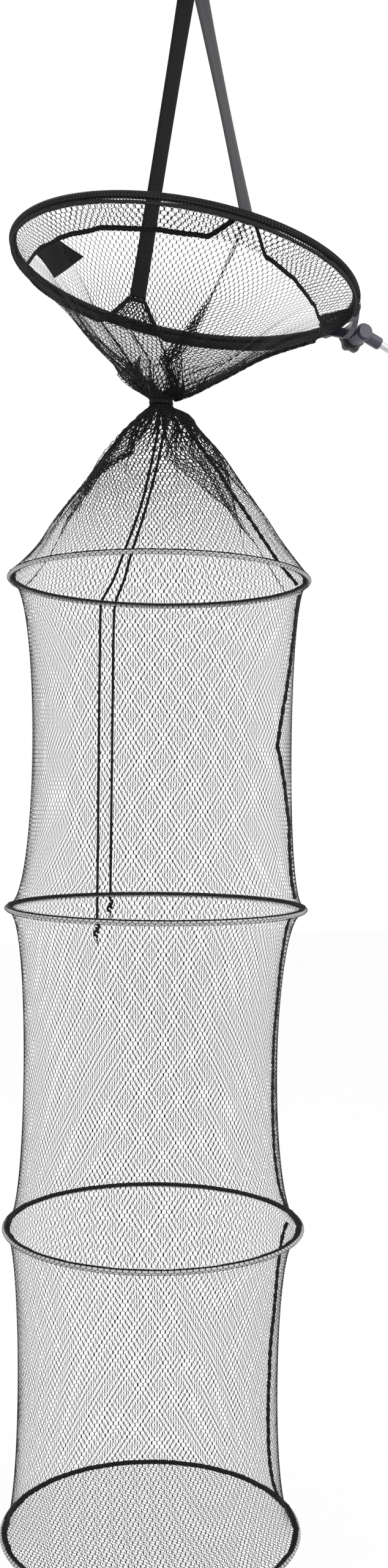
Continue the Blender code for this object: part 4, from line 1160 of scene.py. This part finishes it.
def seamDown(place, angles, count, push):
    v = np.linspace(0.015, 0.985, count)
    drift = np.interp(v, np.linspace(0, 1, len(angles)), np.radians(angles))
    drift = drift + wave(v * 30, (1, 2, 3), 0.004)
    u = (drift + math.pi / 2) / math.tau
    normal = normalAt(place, u, v)
    return place(u, v) + normal * push, normal


def onAngle(cone):
    return lambda u, v: cone(angleAt(u), v)


seamAngles = {
    "seamUpper": (15, 12, 8, 4),
    "seamLower": (18, 8, 3, -2),
    "seam1": (-8, -11, -9, -2, 4, -4, -9, -8, -6),
    "seam2": (-6, -9, -5, -1, -3),
    "seam3": (-4, -7, -3, 2, 3),
}


def makeSeams():
    for side, cone in (("upper", plainCone), ("lower", plainLowerCone)):
        name = "seam" + side.capitalize()
        path, out = seamDown(onAngle(cone), seamAngles[name], seamShape[side + "Steps"], seamShape["push"])
        makeSeam(name, path, out, coneSpans[side], "seam_" + side, seamShape[side + "Swell"])
    for index, swell in enumerate(seamShape["sideSwells"]):
        name = f"seam{index + 1}"
        path, out = seamDown(sectionPlace(index), seamAngles[name], seamShape["sideSteps"], seamShape["push"])
        makeSeam(name, path, out, sectionSpans[index], f"seam_{index + 1}", swell)
    print("seams")


makeSeams()


# Neck and drawcords

cordShape = {"radius": 0.002, "strands": 3, "lay": 0.9, "depth": 0.22}
cordRoutes = {
    "left": (
        (-0.0338, 0.0156, -0.5800), (-0.0330, 0.0202, -0.5905), (-0.0318, 0.0272, -0.6000),
        (-0.0303, 0.0380, -0.6142), (-0.0292, 0.0632, -0.6461), (-0.0298, 0.0971, -0.6899),
        (-0.0337, 0.1234, -0.7240), (-0.0401, 0.1504, -0.7590), (-0.0467, 0.1778, -0.7949),
        (-0.0520, 0.1975, -0.8130), (-0.0560, 0.2045, -0.8250), (-0.0572, 0.2062, -0.8400),
        (-0.0576, 0.2062, -0.8800), (-0.0580, 0.2062, -0.9800), (-0.0580, 0.2062, -1.1200),
        (-0.0583, 0.2062, -1.2900),
    ),
    "right": (
        (-0.0281, 0.0127, -0.5800), (-0.0262, 0.0171, -0.5905), (-0.0242, 0.0242, -0.6000),
        (-0.0223, 0.0355, -0.6142), (-0.0209, 0.0640, -0.6495), (-0.0224, 0.0987, -0.6934),
        (-0.0250, 0.1236, -0.7251), (-0.0289, 0.1497, -0.7585), (-0.0309, 0.1774, -0.7942),
        (-0.0330, 0.1975, -0.8130), (-0.0352, 0.2048, -0.8250), (-0.0366, 0.2066, -0.8400),
        (-0.0372, 0.2067, -0.8700), (-0.0376, 0.2067, -0.9600), (-0.0380, 0.2067, -1.1000),
        (-0.0385, 0.2067, -1.2550),
    ),
}
knotShape = {
    "radius": 0.0019, "loop": 0.0030, "height": 0.016, "tail": 0.012,
    "hairs": 14, "hairRadius": 0.00028, "lean": 0.0016,
}


def makeCords():
    for side, route in cordRoutes.items():
        path = smoothPath(route, 520)
        length = float(lengthsAlong(path)[-1])
        c = cordShape
        section = roundSection(c["radius"], 12, c["strands"] * 2, c["depth"], c["lay"])
        ending = side.capitalize()
        cord = sweep("drawcord" + ending, path, section, "cord", outward=(0, 1, 0))

        turn = np.linspace(0, math.tau, 90)
        wide, high = knotShape["loop"], knotShape["height"]
        curl = np.stack((
            wide * (np.sin(turn) + 1.4 * np.sin(2 * turn)) * 0.55,
            wide * (np.cos(turn) - 1.4 * np.cos(2 * turn)) * 0.45,
            -high * turn / math.tau * 0.8 + 0.0022 * np.sin(3 * turn),
        ), 1) + path[-1] - up * 0.001
        tail = curl[-1] - up * np.linspace(0.0008, knotShape["tail"] * 0.5, 8)[:, None]
        body = np.concatenate((path[-1:], curl[6:-3], tail))
        section = roundSection(knotShape["radius"], 10, 6, 0.2, 0.8)
        knot = sweep("cordKnot" + ending, smoothPath(body[::4], 130), section, "cord", outward=(0, 1, 0))
        hairs, faces = [], []
        grow = np.linspace(0, 1, 6)[:, None]
        thin = knotShape["hairRadius"] * (1 - 0.5 * grow)[..., None]
        for k in range(knotShape["hairs"]):
            lean = rng.normal(0, knotShape["lean"], 2)
            line = np.concatenate((lean * grow**1.5 + lean * 0.3, -knotShape["tail"] * 0.6 * grow), 1)
            hairs.append((tail[-1] + line)[:, None] + thin * around(np.arange(3) / 3 * math.tau))
            faces.append(gridQuads(np.arange(18).reshape(6, 3) + k * 18)[:, (0, 3, 2, 1)])
        fray = meshFrom("cordFray" + ending, np.concatenate(hairs), np.concatenate(faces), "cord")
        settle(knot, "hoop_one", "cord_knot_" + side)
        settle(fray, "hoop_one")
        settle(cord, ("neck", "hoop_one", neckMiddle, hoopMiddles[0] + up * 0.02), "drawcord_" + side)
        print("drawcord", side, "%.3f m" % length)


bandShape = {"turns": 2.1, "from": 1.2, "out": 0.0023, "rise": 0.0021, "radius": 0.0019}


def makeNeck():
    # drawn-in netting: a bundle of pleats, narrow at the cord
    rings, sides = 28, 180
    height = np.linspace(neckShape["half"], -neckShape["half"], rings)[:, None]
    angle = np.arange(sides) / sides * math.tau
    share = np.abs(height) / neckShape["half"]
    radius = neckShape["waist"] + (neckShape["flare"] - neckShape["waist"]) * share**1.2
    pleat = 1 + 0.10 * np.sin(angle * 17 + height * 90) + 0.06 * np.sin(angle * 31 - height * 160)
    points = neckMiddle + around(angle) * (radius * pleat)[..., None] + up * height[..., None]
    gather = skin("neckGather", points, "netting")
    settle(gather, "neck", "neck_gather")

    b = bandShape
    turn = np.linspace(0, b["turns"] * math.tau, 260)
    high = b["rise"] * (1 - 2 * turn / turn[-1])
    lay = neckMiddle + around(turn + b["from"]) * (neckShape["waist"] + b["out"]) + up * high[:, None]
    band = sweep("neckBand", lay, roundSection(b["radius"], 12, 6, 0.22, 0.9), "cord", outward=up)
    settle(band, "neck", "neck_band")
    print("neck")


makeCords()
makeNeck()


# Angle lock

lockFinishes = {
    "clamp_bracket": "moulded_plastic", "bolt_cap": "moulded_plastic", "knuckle": "moulded_plastic",
    "star_knob": "knob_plastic", "knob_insert": "brass", "lock_bolt": "steel", "threaded_stud": "steel",
}


def makeLock():
    # the moulded and turned pieces keep the solids' own meshes
    for name, finish in lockFinishes.items():
        node = nodes[name]
        if not node.material_slots:
            node.data.materials.append(finishes[finish])
        node.material_slots[0].material = finishes[finish]
    print("angle lock")


makeLock()
